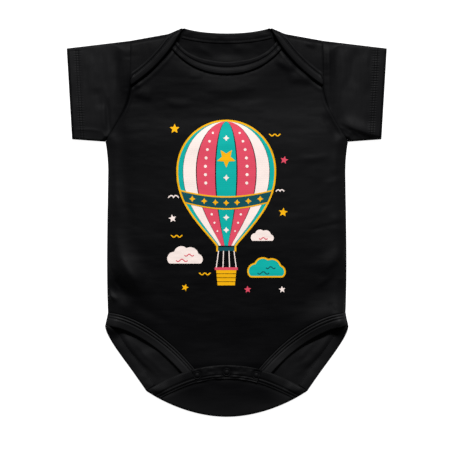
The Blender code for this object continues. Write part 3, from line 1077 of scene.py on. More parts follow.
# the steps that bound the body, the arms and the tail: an axis, where a step starts and ends
ON_BODY: tuple[Ramp, ...] = (("y", -60, 0), ("y", 150, 130), ("reach", 110, 92))
ON_ARM: tuple[Ramp, ...] = (("reach", 94, 116), ("y", 70, 84))
ON_TAIL: tuple[Ramp, ...] = (("reach", 50, 30), ("y", -130, -140))

# further painted light, or painted shade where the amount is negative: its amount, and the steps of
# its zone
PAINTED_LIGHT_ZONES: tuple[tuple[float, tuple[Ramp, ...]], ...] = (
    (0.78, ON_ARM),
    (-0.2, (("y", 140, 165), *ON_ARM)),
    (0.1, (("x", -118, -140), *ON_ARM)),
    (-0.2, (("x", 118, 140), *ON_ARM)),
    (0.04, (("reach", 48, 60), ("y", 134, 150), ("reach", 100, 92))),
    (0.2, (("reach", 40, 60), ("y", -96, -112))),
    (0.26, (("reach", 88, 108), ("y", 80, 60), ("y", -110, -90))),
    (0.3, (("x", 72, 95), ("y", -106, -95), ("y", -62, -76))),
    (0.12, ON_TAIL),
    (-0.54, (("y", -180, -155), *ON_TAIL)),
)

# round spots: amount, middle and spread; a painted highlight and a painted shade on the right hip's
# crest and hollow, and painted shadows at the leg corners and the tail's tips
PAINTED_LIGHT_SPOTS: tuple[tuple[float, Knot, Knot], ...] = (
    (0.34, (-93, -37), (9, 12)), (-0.45, (-102, -57), (7, 9)),
    (-0.9, (114, -104), (11, 6.5)), (-0.9, (-114, -104), (11, 6.5)),
    (-0.6, (66, -165), (7, 5)), (-0.6, (-66, -165), (7, 5)),
)

# painted light added for each millimetre from right to left over the whole body, and what the chest
# adds to it
PAINTED_LIGHT_TILT = 0.0012
CHEST_PAINTED_LIGHT_TILT = 0.0014


def grid_faces(
    rows: int, columns: int, round_rows: bool = False, round_columns: bool = False
) -> Array:
    """The quads of a grid of points, row by row.

    Args:
        rows: number of rows.
        columns: number of columns.
        round_rows: whether the last row joins the first.
        round_columns: whether the last column joins the first.

    Returns:
        Vertex numbers (n, 4), facing up where rows follow X and columns follow Y.
    """
    row = np.arange(rows if round_rows else rows - 1)[:, None]
    column = np.arange(columns if round_columns else columns - 1)[None, :]
    here, over, right = row * columns, (row + 1) % rows * columns, (column + 1) % columns
    corners = (here + column, here + right, over + right, over + column)
    return np.stack(np.broadcast_arrays(*corners), axis=-1).reshape(-1, 4)


def make_mesh(
    name: str, places: Array, faces: Sequence[Sequence[int]], ends: Sequence[Sequence[int]] = ()
) -> bpy.types.Mesh:
    """A mesh from places in millimetres, shaded smooth.

    Args:
        name: the mesh's name.
        places: vertices (n, 3).
        faces: faces as vertex numbers.
        ends: further faces of any size.

    Returns:
        The mesh, in metres.
    """
    mesh = bpy.data.meshes.new(name)
    faces = [list(map(int, face)) for face in (*faces, *ends)]
    mesh.from_pydata((places * MM).tolist(), [], faces)
    mesh.shade_smooth()
    return mesh


def drape(
    name: str, parts: Sequence[tuple[Array, Support, bool]]
) -> tuple[bpy.types.Mesh, Array]:
    """One mesh from grids of places, each at its own height.

    Args:
        name: the mesh's name.
        parts: each grid (rows, columns, 2), its height, and whether it faces down.

    Returns:
        The mesh, and the places of its vertices in the plane.
    """
    places, faces, start = [], [], 0
    for grid, height, down in parts:
        flat = grid.reshape(-1, 2)
        quads = grid_faces(*grid.shape[:2]) + start
        places.append(np.column_stack((flat, height(flat))))
        faces.append(quads[:, ::-1] if down else quads)
        start += len(flat)
    points = np.vstack(places)
    return make_mesh(name, points, np.vstack(faces)), points[:, :2]


def mend(
    mesh: bpy.types.Mesh, merge: float = 0.0, outwards: bool = False, crisp: bool = False
) -> None:
    """Join, turn or crease a mesh in place.

    Args:
        mesh: the mesh.
        merge: points closer than this become one.
        outwards: whether the faces of a closed mesh are turned outwards.
        crisp: whether only the cut edges of a sheet are kept sharp.
    """
    build = bmesh.new()
    build.from_mesh(mesh)
    if merge:
        bmesh.ops.remove_doubles(build, verts=build.verts, dist=merge * MM)
    if outwards:
        bmesh.ops.recalc_face_normals(build, faces=build.faces)
    if crisp:
        for edge in build.edges:
            edge.smooth = not edge.is_boundary
    build.to_mesh(mesh)
    build.free()


def within(points: Array, ramps: Sequence[Ramp]) -> Array:
    """Share by which each place is within a zone: the product of its smooth steps.

    Args:
        points: places (n, 2).
        ramps: each step's axis (x, y or reach), start and end.

    Returns:
        One share for each point.
    """
    axes = {"x": points[:, 0], "reach": np.abs(points[:, 0]), "y": points[:, 1]}
    return np.prod([ease(axes[axis], start, end) for axis, start, end in ramps], axis=0)


def painted_light(points: Array) -> Array:
    """How pale the cloth is painted at each place, from 0 to 1: painted light and shade.

    The share along the garment's middle comes from a table, and the arms have their own. The left
    side is painted a little paler than the right. Zones and spots are added to that.

    Args:
        points: places (n, 2).

    Returns:
        One share for each point.
    """
    knots = np.array(PAINTED_LIGHT_ALONG)
    middle = np.interp(points[:, 1], knots[:, 0], knots[:, 1])
    share = middle * (1.0 - within(points, ON_ARM))
    share += PAINTED_LIGHT_TILT * points[:, 0] * within(points, ON_BODY)
    share += CHEST_PAINTED_LIGHT_TILT * points[:, 0] * within(points, (("y", 40, 90), *ON_BODY))
    share += sum(amount * within(points, ramps) for amount, ramps in PAINTED_LIGHT_ZONES)
    for amount, centre, spreads in PAINTED_LIGHT_SPOTS:
        gap = (points - np.array(centre)) / np.array(spreads)
        share += amount * np.exp(-(gap**2).sum(axis=1))
    return np.clip(share, 0.0, 1.0)


def map_cloth(mesh: bpy.types.Mesh, flat: Array, painted_light_tone: Array | float = 0.0) -> None:
    """Give a mesh its cloth map in millimetres, and its attribute of painted light and shade.

    Args:
        mesh: the mesh.
        flat: each vertex's place on the cut cloth.
        painted_light_tone: how much paler it is painted than its neighbours, as painted light, or
            darker where negative, as painted shade.
    """
    corner = np.empty(len(mesh.loops), dtype=np.int32)
    mesh.loops.foreach_get("vertex_index", corner)
    layer = mesh.uv_layers.new(name="cloth")
    layer.uv.foreach_set("vector", flat[corner].astype(np.float32).ravel())
    place = np.empty(3 * len(mesh.vertices), dtype=np.float32)
    mesh.vertices.foreach_get("co", place)
    share = np.clip(painted_light(place.reshape(-1, 3)[:, :2] / MM) + painted_light_tone, 0.0, 1.0)
    layer = mesh.attributes.new("painted_light", "FLOAT", "POINT")
    layer.data.foreach_set("value", share.astype(np.float32))


def install(
    name: str, mesh: bpy.types.Mesh, finish: Finish, nodes: Sequence[str] = ()
) -> bpy.types.Object:
    """Put a piece on the garment.

    Args:
        name: the piece's name.
        mesh: its mesh in the frame's axes.
        finish: its finish.
        nodes: the frame's nodes that it stands for.

    Returns:
        The new object, riding on the garment's body.
    """
    piece = bpy.data.objects.new(name, mesh)
    bpy.context.scene.collection.objects.link(piece)
    mesh.materials.append(finish.material())
    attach(piece, BODY)
    if nodes:
        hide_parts(*nodes)
    log.info("%s: %d faces, %s", name, len(mesh.polygons), finish.name)
    return piece


def thicken(piece: bpy.types.Object, thickness: float) -> bpy.types.Object:
    """Give an open sheet its thickness, inwards from its drawn face.

    Args:
        piece: the sheet.
        thickness: its thickness.

    Returns:
        the same piece.
    """
    cloth = piece.modifiers.new("Cloth", "SOLIDIFY")
    cloth.thickness = thickness * MM
    cloth.offset = -1.0
    cloth.use_quality_normals = True
    return piece


@dataclass(frozen=True)
class BindingProfile:
    """Cross-section of a folded binding: a flat oval, with furrows where needles run."""

    rise: float = 0.8
    drop: float = 1.0
    squareness: float = 5.0
    crown: float = 0.15
    furrows: tuple[float, ...] = ()
    furrow_depth: float = 0.35
    furrow_spread: float = 0.05
    tilt: float = 0.0
    # how much paler the binding is painted, as painted light, or darker where negative, as painted
    # shade
    painted_light_tone: float = 0.0

    def top(self, share: Array) -> Array:
        """Rise of the outer face over the support.

        A superellipse of the share across, a low crown, a tilt up towards the sewn side, and a
        bell-shaped furrow at each row.

        Args:
            share: shares across the binding, 0 at the sewn side.

        Returns:
            Rises.
        """
        beyond = np.abs(2.0 * share - 1.0)
        body = (1.0 - beyond**self.squareness) ** (1.0 / self.squareness)
        slope = self.tilt * (1.0 - ease(share, 0.08, 0.6))
        rise = (self.rise + self.drop + slope) * body - self.drop
        rise = rise + self.crown * (1.0 - beyond**2)
        return rise + sum(Mark(-self.furrow_depth, row, self.furrow_spread).lift(share)
                          for row in self.furrows)

    def section(self, count: int = 30) -> Array:
        """The closed profile, crowded towards both edges, with a flat underside.

        Args:
            count: places across the face.

        Returns:
            shares across and heights, (m, 2).
        """
        share = 0.5 - 0.5 * np.cos(np.linspace(0.0, np.pi, count))
        under = share[-2:0:-4]
        return np.vstack((np.column_stack((share, self.top(share))),
                          np.column_stack((under, np.full(len(under), -self.drop)))))

    def strip(
        self, name: str, start: Array, end: Array, support: Support, lowest: float
    ) -> bpy.types.Mesh:
        """A closed strip of cloth: the profile carried along a path.

        Each point of the profile is a share of the way from the start path to the end path, and a
        rise over the support's height at that place.

        Args:
            name: the mesh's name.
            start: the path of the strip's sewn side.
            end: its other side, as many points.
            support: height of the surface below.
            lowest: its least height.

        Returns:
            The mesh, closed at both ends.
        """
        section = self.section()
        share, rise = section[None, :, :1], section[:, 1]
        count, around = len(start), len(section)
        flat = (start[:, None] * (1.0 - share) + end[:, None] * share).reshape(-1, 2)
        height = np.maximum(support(flat) + np.tile(rise, count), lowest)
        first = np.arange(around)
        ends = (first[::-1], first + (count - 1) * around)
        faces = grid_faces(count, around, round_columns=True)
        mesh = make_mesh(name, np.column_stack((flat, height)), faces, ends)
        mend(mesh, outwards=True)
        width = np.linalg.norm(end - start, axis=1).mean()
        length = np.repeat(along(0.5 * (start + end)), around)
        across = np.tile(width * section[:, 0], count)
        map_cloth(mesh, np.column_stack((length, across)), self.painted_light_tone)
        return mesh


@dataclass(frozen=True)
class Stitching:
    """A row of machine stitches: small rounded bars laid end to end."""

    length: float = 2.3
    gap: float = 0.5
    radius: float = 0.24
    sides: int = 6
    rings: tuple[float, ...] = (-1.1, -0.5, 0.5, 1.1)
    aim: float = 0.3

    def bar(self) -> tuple[Array, list[list[int]]]:
        """One stitch along X: an ellipse's radius over its length, closed with a pole each end.

        Returns:
            Its vertices, and its faces as vertex numbers.
        """
        angle, sides = np.array(self.rings), self.sides
        turn = np.linspace(0.0, 2.0 * np.pi, sides, endpoint=False)
        half = 0.5 * self.length
        wide = self.radius * np.cos(angle)[:, None]
        x = half * np.sin(angle)[:, None] + 0.0 * turn
        rings = np.stack((x, wide * np.cos(turn), wide * np.sin(turn)), axis=-1).reshape(-1, 3)
        first, last, end = len(rings), len(rings) + 1, len(rings) - sides
        faces = grid_faces(len(angle), sides, round_columns=True).tolist()
        faces += [[first, (k + 1) % sides, k] for k in range(sides)]
        faces += [[last, end + k, end + (k + 1) % sides] for k in range(sides)]
        return np.vstack((rings, [(-half, 0.0, 0.0), (half, 0.0, 0.0)])), faces

    def row(self, name: str, path: Array, support: Support, rise: float) -> bpy.types.Object:
        """Sew a row along a path.

        Each bar is turned to the path's direction of travel, and moved to its place on it.

        Args:
            name: the piece's name.
            path: the row's line in the plane.
            support: height of the surface below.
            rise: height of its middle over that.

        Returns:
            The row as one piece.
        """
        count = max(2, int(along(path)[-1] / (self.length + self.gap)))
        shares = (np.arange(count) + 0.5) / count
        middle, ahead, behind = (
            resample(path, np.clip(shares + step / count, 0.0, 1.0))
            for step in (0.0, self.aim, -self.aim))
        travel = np.column_stack((ahead - behind, support(ahead) - support(behind)))
        travel /= np.linalg.norm(travel, axis=1)[:, None]
        across = np.column_stack((-travel[:, 1], travel[:, 0], np.zeros(count)))
        across /= np.linalg.norm(across, axis=1)[:, None]
        bar, faces = self.bar()
        turns = np.stack((travel, across, np.cross(travel, across)), axis=1)
        places = bar @ turns + np.column_stack((middle, support(middle) + rise))[:, None]
        every = [[k * len(bar) + corner for corner in face] for k in range(count) for face in faces]
        mesh = make_mesh(name, places.reshape(-1, 3), every)
        mend(mesh, outwards=True)
        return install(name, mesh, THREAD)


# --- Cloth panels ---


@dataclass(frozen=True)
class FrontCloth:
    """The front panel, from the neck and leg bindings out to the side and armhole seams."""

    relief: Relief
    across: int = 78
    lengthways: int = 196

    def grid(self) -> Array:
        """The panel's places: a patch over the left half, continued through the middle.

        Returns:
            a grid, (rows, columns, 2).
        """
        draft = self.relief.draft
        crotch = straight((0.0, draft.crotch[1]), draft.crotch, 4)
        bottom = chain(crotch, bezier(draft.leg_seam_knots)[::-1])
        hidden = straight(draft.neckline_knots[-1], draft.front_shoulder)
        top = chain(bezier(draft.neckline_knots), hidden)
        side = chain(draft.side()[4:], draft.armhole()[:-1])
        side = chain(side, straight(tuple(side[-1]), draft.front_shoulder, 2))
        middle = straight((0.0, draft.crotch[1]), draft.neckline_knots[0])
        u = crowded(self.across, 0.0, 0.03)
        v = np.linspace(0.0, 1.0, self.lengthways)
        return both_halves(coons(resample(bottom, u), resample(top, u),
                                 resample(middle, v), resample(side, v), u, v))

    def build(self) -> bpy.types.Object:
        """Drape the panel over the relief and give it its thickness.

        Returns:
            the front panel.
        """
        mesh, flat = drape("front_cloth", [(self.grid(), self.relief.front, False)])
        map_cloth(mesh, flat)
        return thicken(install("front_cloth", mesh, JERSEY, ("front_panel",)), CLOTH)


@dataclass(frozen=True)
class BackCloth:
    """The back panel in one piece with its shoulder laps and the tail at its lower end."""

    relief: Relief
    edge_inset: float = 2.0
    neck_points: int = 22
    shoulder_points: int = 34

    def panel(self, rows: Array) -> Array:
        """The half panel's places between the lower fold, the neckline and the sides.

        Args:
            rows: shares from the lower fold up to the shoulder.

        Returns:
            A grid from the middle outwards.
        """
        draft = self.relief.draft
        top = chain(resample(bezier(draft.back_neck_knots), self.neck_points),
                    resample(draft.shoulder()[::-1], self.shoulder_points))
        bottom = resample(bezier(draft.fold_knots)[::-1], len(top))
        middle = straight(draft.fold_knots[-1], draft.back_neck_knots[0])
        side = chain(bezier(draft.leg_knots)[::-1], draft.side(), draft.armhole())
        left, right = resample(middle, rows), resample(side, rows)
        return coons(bottom, top, left, right, np.linspace(0.0, 1.0, len(top)), rows)

    def lap(self, rows: Array) -> Array:
        """The lap's places from the shoulder fold to just inside its free edge.

        Args:
            rows: shares of the way from fold to edge.

        Returns:
            a grid, (rows, columns, 2).
        """
        draft = self.relief.draft
        fold = resample(draft.shoulder()[::-1], self.shoulder_points)
        edge = offset(bezier(draft.lap_knots), self.edge_inset)
        edge = draft.under_shoulder(resample(edge, self.shoulder_points), 0.4)
        return ruled(fold, edge, rows)

    def tail(self, count: int, rows: Array) -> Array:
        """The tail's places from the lower fold to just inside its free edge.

        Args:
            count: places along the fold.
            rows: shares of the way from fold to edge.

        Returns:
            a grid, (rows, columns, 2).
        """
        draft = self.relief.draft
        fold = resample(bezier(draft.fold_knots)[::-1], count)
        edge = resample(offset(bezier(draft.tail_top_knots), -self.edge_inset), count)
        edge[:, 0] = np.minimum(edge[:, 0], fold[-1, 0] - 0.3)
        return ruled(fold, edge, rows)

    def build(self) -> bpy.types.Object:
        """Join the panel, both laps and the tail along their folds, and thicken the cloth.

        Returns:
            the back with its laps and tail.
        """
        panel = both_halves(self.panel(crowded(150, 0.012, 0.012, 8)))
        lap = self.lap(crowded(26, 0.16, 0.0, 10))
        tail = self.tail(panel.shape[1] // 2 + 1, crowded(20, 0.12, 0.0, 9))
        relief = self.relief
        mesh, flat = drape("back_cloth", (
            (panel, relief.back, True), (lap, relief.lap, True),
            (mirrored(lap), relief.lap, False), (both_halves(tail), relief.tail, False)))
        map_cloth(mesh, flat)
        mend(mesh, merge=0.01, crisp=True)
        nodes = ("back_panel", "shoulder_lap_left", "shoulder_lap_right", "crotch_tail")
        return thicken(install("back_cloth", mesh, JERSEY, nodes), CLOTH)


@dataclass(frozen=True)
class Sleeve:
    """A short set-in sleeve: a flattened tube, double walled, thicker at its turned hem."""

    relief: Relief
    side: float
    hem: float = 13.0
    hem_wall: float = 1.35
    hem_ease: float = 0.8
    needles: Knot = (8.5, 11.0)
    needle_furrow: Mark = Mark(-0.22, 0.0, 0.55)
    pucker: float = 0.26
    pucker_run: float = 3.2
    pitch: float = 2.4
    edge_run: float = 1.5
    edge_rise: float = 0.5
    edge_middle: float = 1.4
    under_marks: float = 0.6
    under_thread: float = 0.32
    lift_span: Knot = (92.0, 140.0)
    lift_reach: Knot = (94.0, 122.0)
    lift_run: float = 3.0
    widest_wall: float = 0.42
    faces_apart: float = 200.0
    mouth: float = 1.1
    mouth_run: float = 9.0
    mouth_edge: float = 6.0
    # painted shade: how much darker the cuff's mouth is painted
    mouth_painted_shade: float = -0.8
    lip: float = 0.35
    floor: float = 0.02
    stations: int = 64
    across: int = 200

    @property
    def name(self) -> str:
        """The node that the sleeve stands for."""
        return "sleeve_left" if self.side > 0 else "sleeve_right"

    @property
    def turn(self) -> Array:
        """What puts a place drawn for the left sleeve on this one."""
        return np.array([self.side, 1.0])

    def under(self, points: Array) -> Array:
        """Height of the threads that run below the sleeve."""
        return np.full(len(points), self.under_thread)

    def hem_marks(self, face: Array) -> Array:
        """The hem's two needle rows, and the puckers that each stitch draws across them.

        Each row is a bell curve of the distance to the cuff. The puckers are a sine along the
        cuff, one wave a stitch, stronger and weaker in places.

        Args:
            face: the upper face's places.

        Returns:
            One height for each place.
        """
        run = np.linalg.norm(face - face[-1:], axis=2).ravel()
        rows = sum(self.needle_furrow.lift(run - needle) for needle in self.needles)
        flat = face.reshape(-1, 2)
        band = bell(run - 0.5 * sum(self.needles), self.pucker_run, 4)
        uneven = 0.6 + ripples(flat * self.turn, HEM_UNEVENNESS)
        wave = np.sin(2.0 * np.pi * flat[:, 1] / self.pitch)
        return self.pucker * uneven * band * wave + rows

    def hem_row(self, needle: float) -> Array:
        """The line of one needle row, parallel to the cuff, from just above the underarm seam.

        Args:
            needle: the row's distance in from the cuff.

        Returns:
            the line, (n, 2).
        """
        (tip_x, tip_y), (top_x, top_y) = self.relief.draft.shoulder_tip, self.relief.draft.cuff_top
        low_x, low_y = self.relief.draft.cuff_bottom
        fall = needle * (tip_y - top_y) / (top_x - tip_x)
        start, end = (low_x - needle, low_y + 1.0), (top_x - needle, top_y + fall - 1.0)
        return straight(start, end, 60) * self.turn

    def face(self) -> Array:
        """Places of the upper face: rulings from the armhole seam out to the cuff.

        Returns:
            a grid, (rows, columns, 2).
        """
        draft = self.relief.draft
        v = crowded(self.across, 0.035, 0.035)
        seam = draft.armhole() + np.array([0.2, 0.0])
        heights = seam[0, 1] + v * (seam[-1, 1] - seam[0, 1])
        start = np.column_stack((np.interp(heights, seam[:, 1], seam[:, 0]), heights))
        cuff = resample(straight(draft.cuff_bottom, draft.cuff_top), v)
        return ruled(start, cuff, crowded(self.stations, 0.03, 0.03, 4))

    def outer(self) -> Array:
        """The tube's outer wall: the upper face, then the under face back again.

        Returns:
            a grid of places in space, (stations, around, 3).
        """
        face = self.face()
        shape, flat = face.shape[:2], face.reshape(-1, 2) * self.turn
        inland = self.relief.draft.inland(flat)
        edge, marks = 1.0 - rolled(inland, self.edge_run), self.hem_marks(face)
        lift = self.relief.lap_rise * ease(flat[:, 1], *self.lift_span)
        lift = lift * (1.0 - ease(np.abs(flat[:, 0]), *self.lift_reach))
        lift = lift * rolled(inland, self.lift_run)
        over = self.relief.front(flat) + self.edge_rise * edge + marks + lift
        under = self.edge_middle * edge - self.under_marks * np.minimum(marks, 0.0)
        run = np.linalg.norm(face - face[-1:], axis=2)
        short = self.mouth * (1.0 - ease(run, 0.0, self.mouth_run))
        short = short * rolled(inland, self.mouth_edge).reshape(shape)
        upper = (face - np.dstack((short, 0.0 * short))) * self.turn
        top = np.dstack((upper, over.reshape(shape)))
        bottom = np.dstack((face * self.turn, under.reshape(shape)))
        return np.concatenate((top, bottom[:, -2:0:-1]), axis=1)

    def shell(self) -> Array:
        """Both walls of the tube, folded back inside at the cuff.

        The inner wall is the outer one moved along its own normal, the cross product of the
        directions around and along, by the wall's thickness there.

        Returns:
            Rows of points round the tube, out along the outer wall and back along the inner one.
        """
        outer = self.outer()
        around = np.roll(outer, -1, axis=1) - np.roll(outer, 1, axis=1)
        normal = np.cross(around, np.gradient(outer, axis=0)) * self.side
        normal /= np.maximum(np.linalg.norm(normal, axis=2), 1e-9)[:, :, None]
        run = np.linalg.norm(outer - outer[-1:], axis=2)
        turned = 1.0 - ease(run, self.hem, self.hem + self.hem_ease)
        gap = np.abs(outer[:, :, 2] - outer[:, ::-1, 2]).max(axis=1)[:, None]
        wall = np.minimum(CLOTH + (self.hem_wall - CLOTH) * turned, self.widest_wall * gap)
        inner = outer + normal * wall[:, :, None]
        for skin in (inner, outer):
            skin[:, :, 2] = np.maximum(skin[:, :, 2], self.floor)
        lip = 0.5 * (outer[-1:] + inner[-1:]) + np.array([self.lip * self.side, 0.0, 0.0])
        return np.concatenate((outer, lip, inner[::-1]), axis=0)

    def build(self) -> bpy.types.Object:
        """Close the tube at the armhole, and paint shade on its mouth.

        Returns:
            the sleeve.
        """
        shell = self.shell()
        flat = shell.reshape(-1, 3)
        mesh = make_mesh(self.name + "_cloth", flat, grid_faces(*shell.shape[:2], True, True))
        mend(mesh, outwards=True)
        # painted shade on the last stretch of the tube at the cuff, where the mouth's shadow falls
        cuff = np.abs(shell[len(shell) // 2 - 1, :, 0]) - self.mouth
        shade = np.where(np.abs(shell[:, :, 0]) > cuff, self.mouth_painted_shade, 0.0)
        below = self.faces_apart * (flat[:, 2] < 1.0)
        cloth = np.column_stack((flat[:, 1] + below, flat[:, 0]))
        map_cloth(mesh, cloth, shade.ravel())
        return install(self.name + "_cloth", mesh, JERSEY, (self.name,))

    def sew(self) -> list[bpy.types.Object]:
        """Sew both needle rows of the hem, over and under the sleeve.

        Returns:
            the four rows of stitches.
        """
        sewing = Stitching(length=0.65 * self.pitch, gap=0.35 * self.pitch, radius=0.26)
        return [
            sewing.row(f"{self.name}_{face}_stitches_{number}", self.hem_row(needle), support, 0.0)
            for number, needle in enumerate(self.needles, 1)
            for face, support in (("hem", self.relief.front), ("under", self.under))
        ]


# --- Bindings and snaps ---


# the last setting of some profiles is painted light or shade: the laps and leg bindings painted
# paler, the back leg bindings, tail bindings and placket painted darker
PROFILES: dict[str, BindingProfile] = {
    "neck": BindingProfile(
        rise=0.9, squareness=8.0, furrows=(0.55,), crown=0.2, furrow_depth=0.9, furrow_spread=0.09,
        tilt=0.6),
    "back_neck": BindingProfile(
        rise=0.9, drop=0.9, furrows=(0.28,), furrow_depth=0.35, furrow_spread=0.12),
    "lap": BindingProfile(
        rise=1.1, furrows=(0.34,), furrow_depth=0.95, furrow_spread=0.1, crown=0.3, painted_light_tone=0.05),
    "leg": BindingProfile(
        rise=1.0, furrows=(0.19, 0.39), furrow_depth=1.2, furrow_spread=0.055, painted_light_tone=0.42),
    "back_leg": BindingProfile(
        rise=0.9, drop=0.75, squareness=3.0, furrows=(0.15,), furrow_depth=0.1, tilt=-0.6,
        painted_light_tone=-0.2),
    "tail": BindingProfile(
        rise=1.1, furrows=(0.16, 0.38), furrow_depth=1.0, furrow_spread=0.06, painted_light_tone=-0.2),
    "placket": BindingProfile(
        rise=1.5, squareness=8.0, furrows=(0.13, 0.3), furrow_depth=1.0, furrow_spread=0.055,
        painted_light_tone=-0.5),
}


@dataclass
class Bindings:
    """The rib bindings that finish the neck, the laps, the leg openings and the tail."""

    relief: Relief
    neck_width: float = 11.6
    neck_narrowing: float = 3.6
    neck_tuck: float = 0.6
    back_neck_width: float = 9.8
    back_neck_lip: float = 0.3
    lap_width: float = 10.0
    lap_tuck: float = 0.3
    back_leg_width: float = 11.0
    back_leg_lip: float = 0.2
    lowest: float = 0.85
    sunk: float = 0.06
    split: int = 38
    sewing: Stitching = field(default_factory=Stitching)
    pieces: list[bpy.types.Object] = field(default_factory=list)

    def bind(
        self, name: str, start: Array, end: Array, support: Support, profile: BindingProfile,
        node: str, lowest: float = 0.0,
    ) -> None:
        """Make a binding between two paths, and sew the rows in its furrows.

        Args:
            name: the piece's name.
            start: the path of its sewn side.
            end: the path of its free side.
            support: height of the cloth below.
            profile: its cross-section.
            node: the frame's node that it stands for.
            lowest: its least height.
        """
        mesh = profile.strip(name, start, end, support, lowest)
        self.pieces.append(install(name, mesh, RIB, (node,)))
        for number, share in enumerate(profile.furrows, 1):
            path = start * (1.0 - share) + end * share
            rise = float(profile.top(np.array([share]))[0]) - self.sunk
            self.pieces.append(self.sewing.row(f"{name}_stitches_{number}", path, support, rise))

    def both_sides(
        self, name: str, start: Array, end: Array, support: Support, profile: BindingProfile,
        node: str, lowest: float = 0.0,
    ) -> None:
        """Make a binding and its mirror image, with their stitches.

        Args:
            name: the pieces' name, without the side.
            start: the sewn edge on the wearer's left, (n, 2).
            end: the free edge there, (n, 2).
            support: height of the cloth below.
            profile: the cross-section.
            node: the node it replaces, without the side.
            lowest: its least height.
        """
        paths = {"_left": (start, end), "_right": (mirrored(start), mirrored(end))}
        for side, (sewn, free) in paths.items():
            self.bind(name + side, sewn, free, support, profile, node + side, lowest)

    def neck(self) -> None:
        """The front neck binding, widest at the middle and narrower towards the laps."""
        seam = resample(bezier(self.relief.draft.neckline_knots), 70)
        share = np.linspace(0.0, 1.0, len(seam))
        width = self.neck_width - self.neck_narrowing * ease(share, 0.15, 0.75)
        low, inner = (both_halves(centred(offset(seam, gap))) for gap in (-self.neck_tuck, width))
        self.bind("neck_binding", low, inner, self.relief.front, PROFILES["neck"],
                  "neck_binding_front")

    def back_neck(self) -> None:
        """The binding inside the back neck, its upper side wrapped over the neckline."""
        top = resample(bezier(self.relief.draft.back_neck_knots), 40)
        gaps = (-self.back_neck_width, self.back_neck_lip)
        below, above = (both_halves(centred(offset(top, gap))) for gap in gaps)
        self.bind("back_neck_binding", below, above, self.relief.inside, PROFILES["back_neck"],
                  "neck_binding_back")

    def laps(self) -> None:
        """The bindings along the free edges of the shoulder laps."""
        draft = self.relief.draft
        edge = resample(bezier(draft.lap_knots), 60)
        paths = (offset(edge, self.lap_width), edge)
        inner, edge = (draft.under_shoulder(path, self.lap_tuck) for path in paths)
        self.both_sides("lap_binding_cloth", inner, edge, self.relief.lap, PROFILES["lap"],
                        "lap_binding", self.lowest)

    def front_legs(self) -> None:
        """The bindings along the front's leg openings."""
        draft = self.relief.draft
        paths = (draft.leg_seam_knots, draft.leg_edge_knots)
        seam, edge = (resample(bezier(knots), 80) for knots in paths)
        self.both_sides("leg_binding", seam, edge, self.relief.front, PROFILES["leg"],
                        "leg_binding_front", self.lowest)

    def back_legs(self) -> None:
        """The bindings inside the back's leg openings, wrapped over the edge."""
        draft = self.relief.draft
        rim = resample(bezier(draft.leg_knots), 60)
        inside = offset(rim, -self.back_leg_width)
        inside[:, 0] = np.minimum(inside[:, 0], draft.leg_corner[0] - 1.0)
        self.both_sides("back_leg_binding", inside, offset(rim, self.back_leg_lip),
                        self.relief.inside, PROFILES["back_leg"], "leg_binding_back")

    def tail(self) -> None:
        """The bindings of the tail's free edge, each side of the snap placket."""
        draft = self.relief.draft
        paths = (draft.tail_seam_knots, draft.tail_top_knots)
        seam, top = (resample(bezier(knots), 90) for knots in paths)
        self.both_sides("tail_binding_cloth", seam[self.split :], top[self.split :],
                        self.relief.tail, PROFILES["tail"], "tail_binding")
        low, high = (both_halves(path[: self.split + 1]) for path in (seam, top))
        self.bind("placket", low, high, self.relief.placket, PROFILES["placket"], "snap_placket")

    def build(self) -> list[bpy.types.Object]:
        """Make every binding.

        Returns:
            the bindings and their stitches.
        """
        for make in (self.neck, self.back_neck, self.laps, self.front_legs, self.back_legs,
                     self.tail):
            make()
        return self.pieces


@dataclass(frozen=True)
class Snap:
    """A ring snap: a rolled ring with the prong's low dome inside it."""

    relief: Relief
    name: str
    place: Knot
    rise: float = 0.55
    ring: float = 3.5
    tube: float = 0.4
    dome: float = 2.5
    dome_height: float = 1.5
    foot: float = -0.6
    steps: int = 40

    def profile(self) -> Array:
        """Half the section from the axis outwards: the dome's arc, a gutter, then the ring.

        Returns:
            reaches and heights, (n, 2).
        """
        arc = np.linspace(0.0, 0.5 * np.pi, 7)
        dome = np.column_stack((self.dome * np.sin(arc), self.dome_height * np.cos(arc) - 0.1))
        turn = np.linspace(np.pi, -0.35 * np.pi, 14)
        ring = np.column_stack((self.ring + self.tube * np.cos(turn),
                                0.1 + self.tube * np.sin(turn)))
        return np.vstack((dome, ring, [(self.ring, self.foot), (0.0, self.foot)]))

    def build(self) -> bpy.types.Object:
        """Turn the profile about the snap's axis and seat it on the placket.

        Returns:
            the snap's cap.
        """
        reach, height = self.profile().T
        angle = np.linspace(0.0, 2.0 * np.pi, self.steps, endpoint=False)[:, None]
        seat = self.relief.tail(np.array([self.place]))[0] + self.rise
        x, y = self.place[0] + reach * np.cos(angle), self.place[1] + reach * np.sin(angle)
        places = np.stack(np.broadcast_arrays(x, y, height + seat), axis=-1).reshape(-1, 3)
        faces = grid_faces(self.steps, len(reach), round_rows=True)
        mesh = make_mesh(self.name + "_cap", places, faces)
        mend(mesh, merge=0.001, outwards=True)
        return install(self.name + "_cap", mesh, SNAP, (self.name,))


# --- Chest print ---


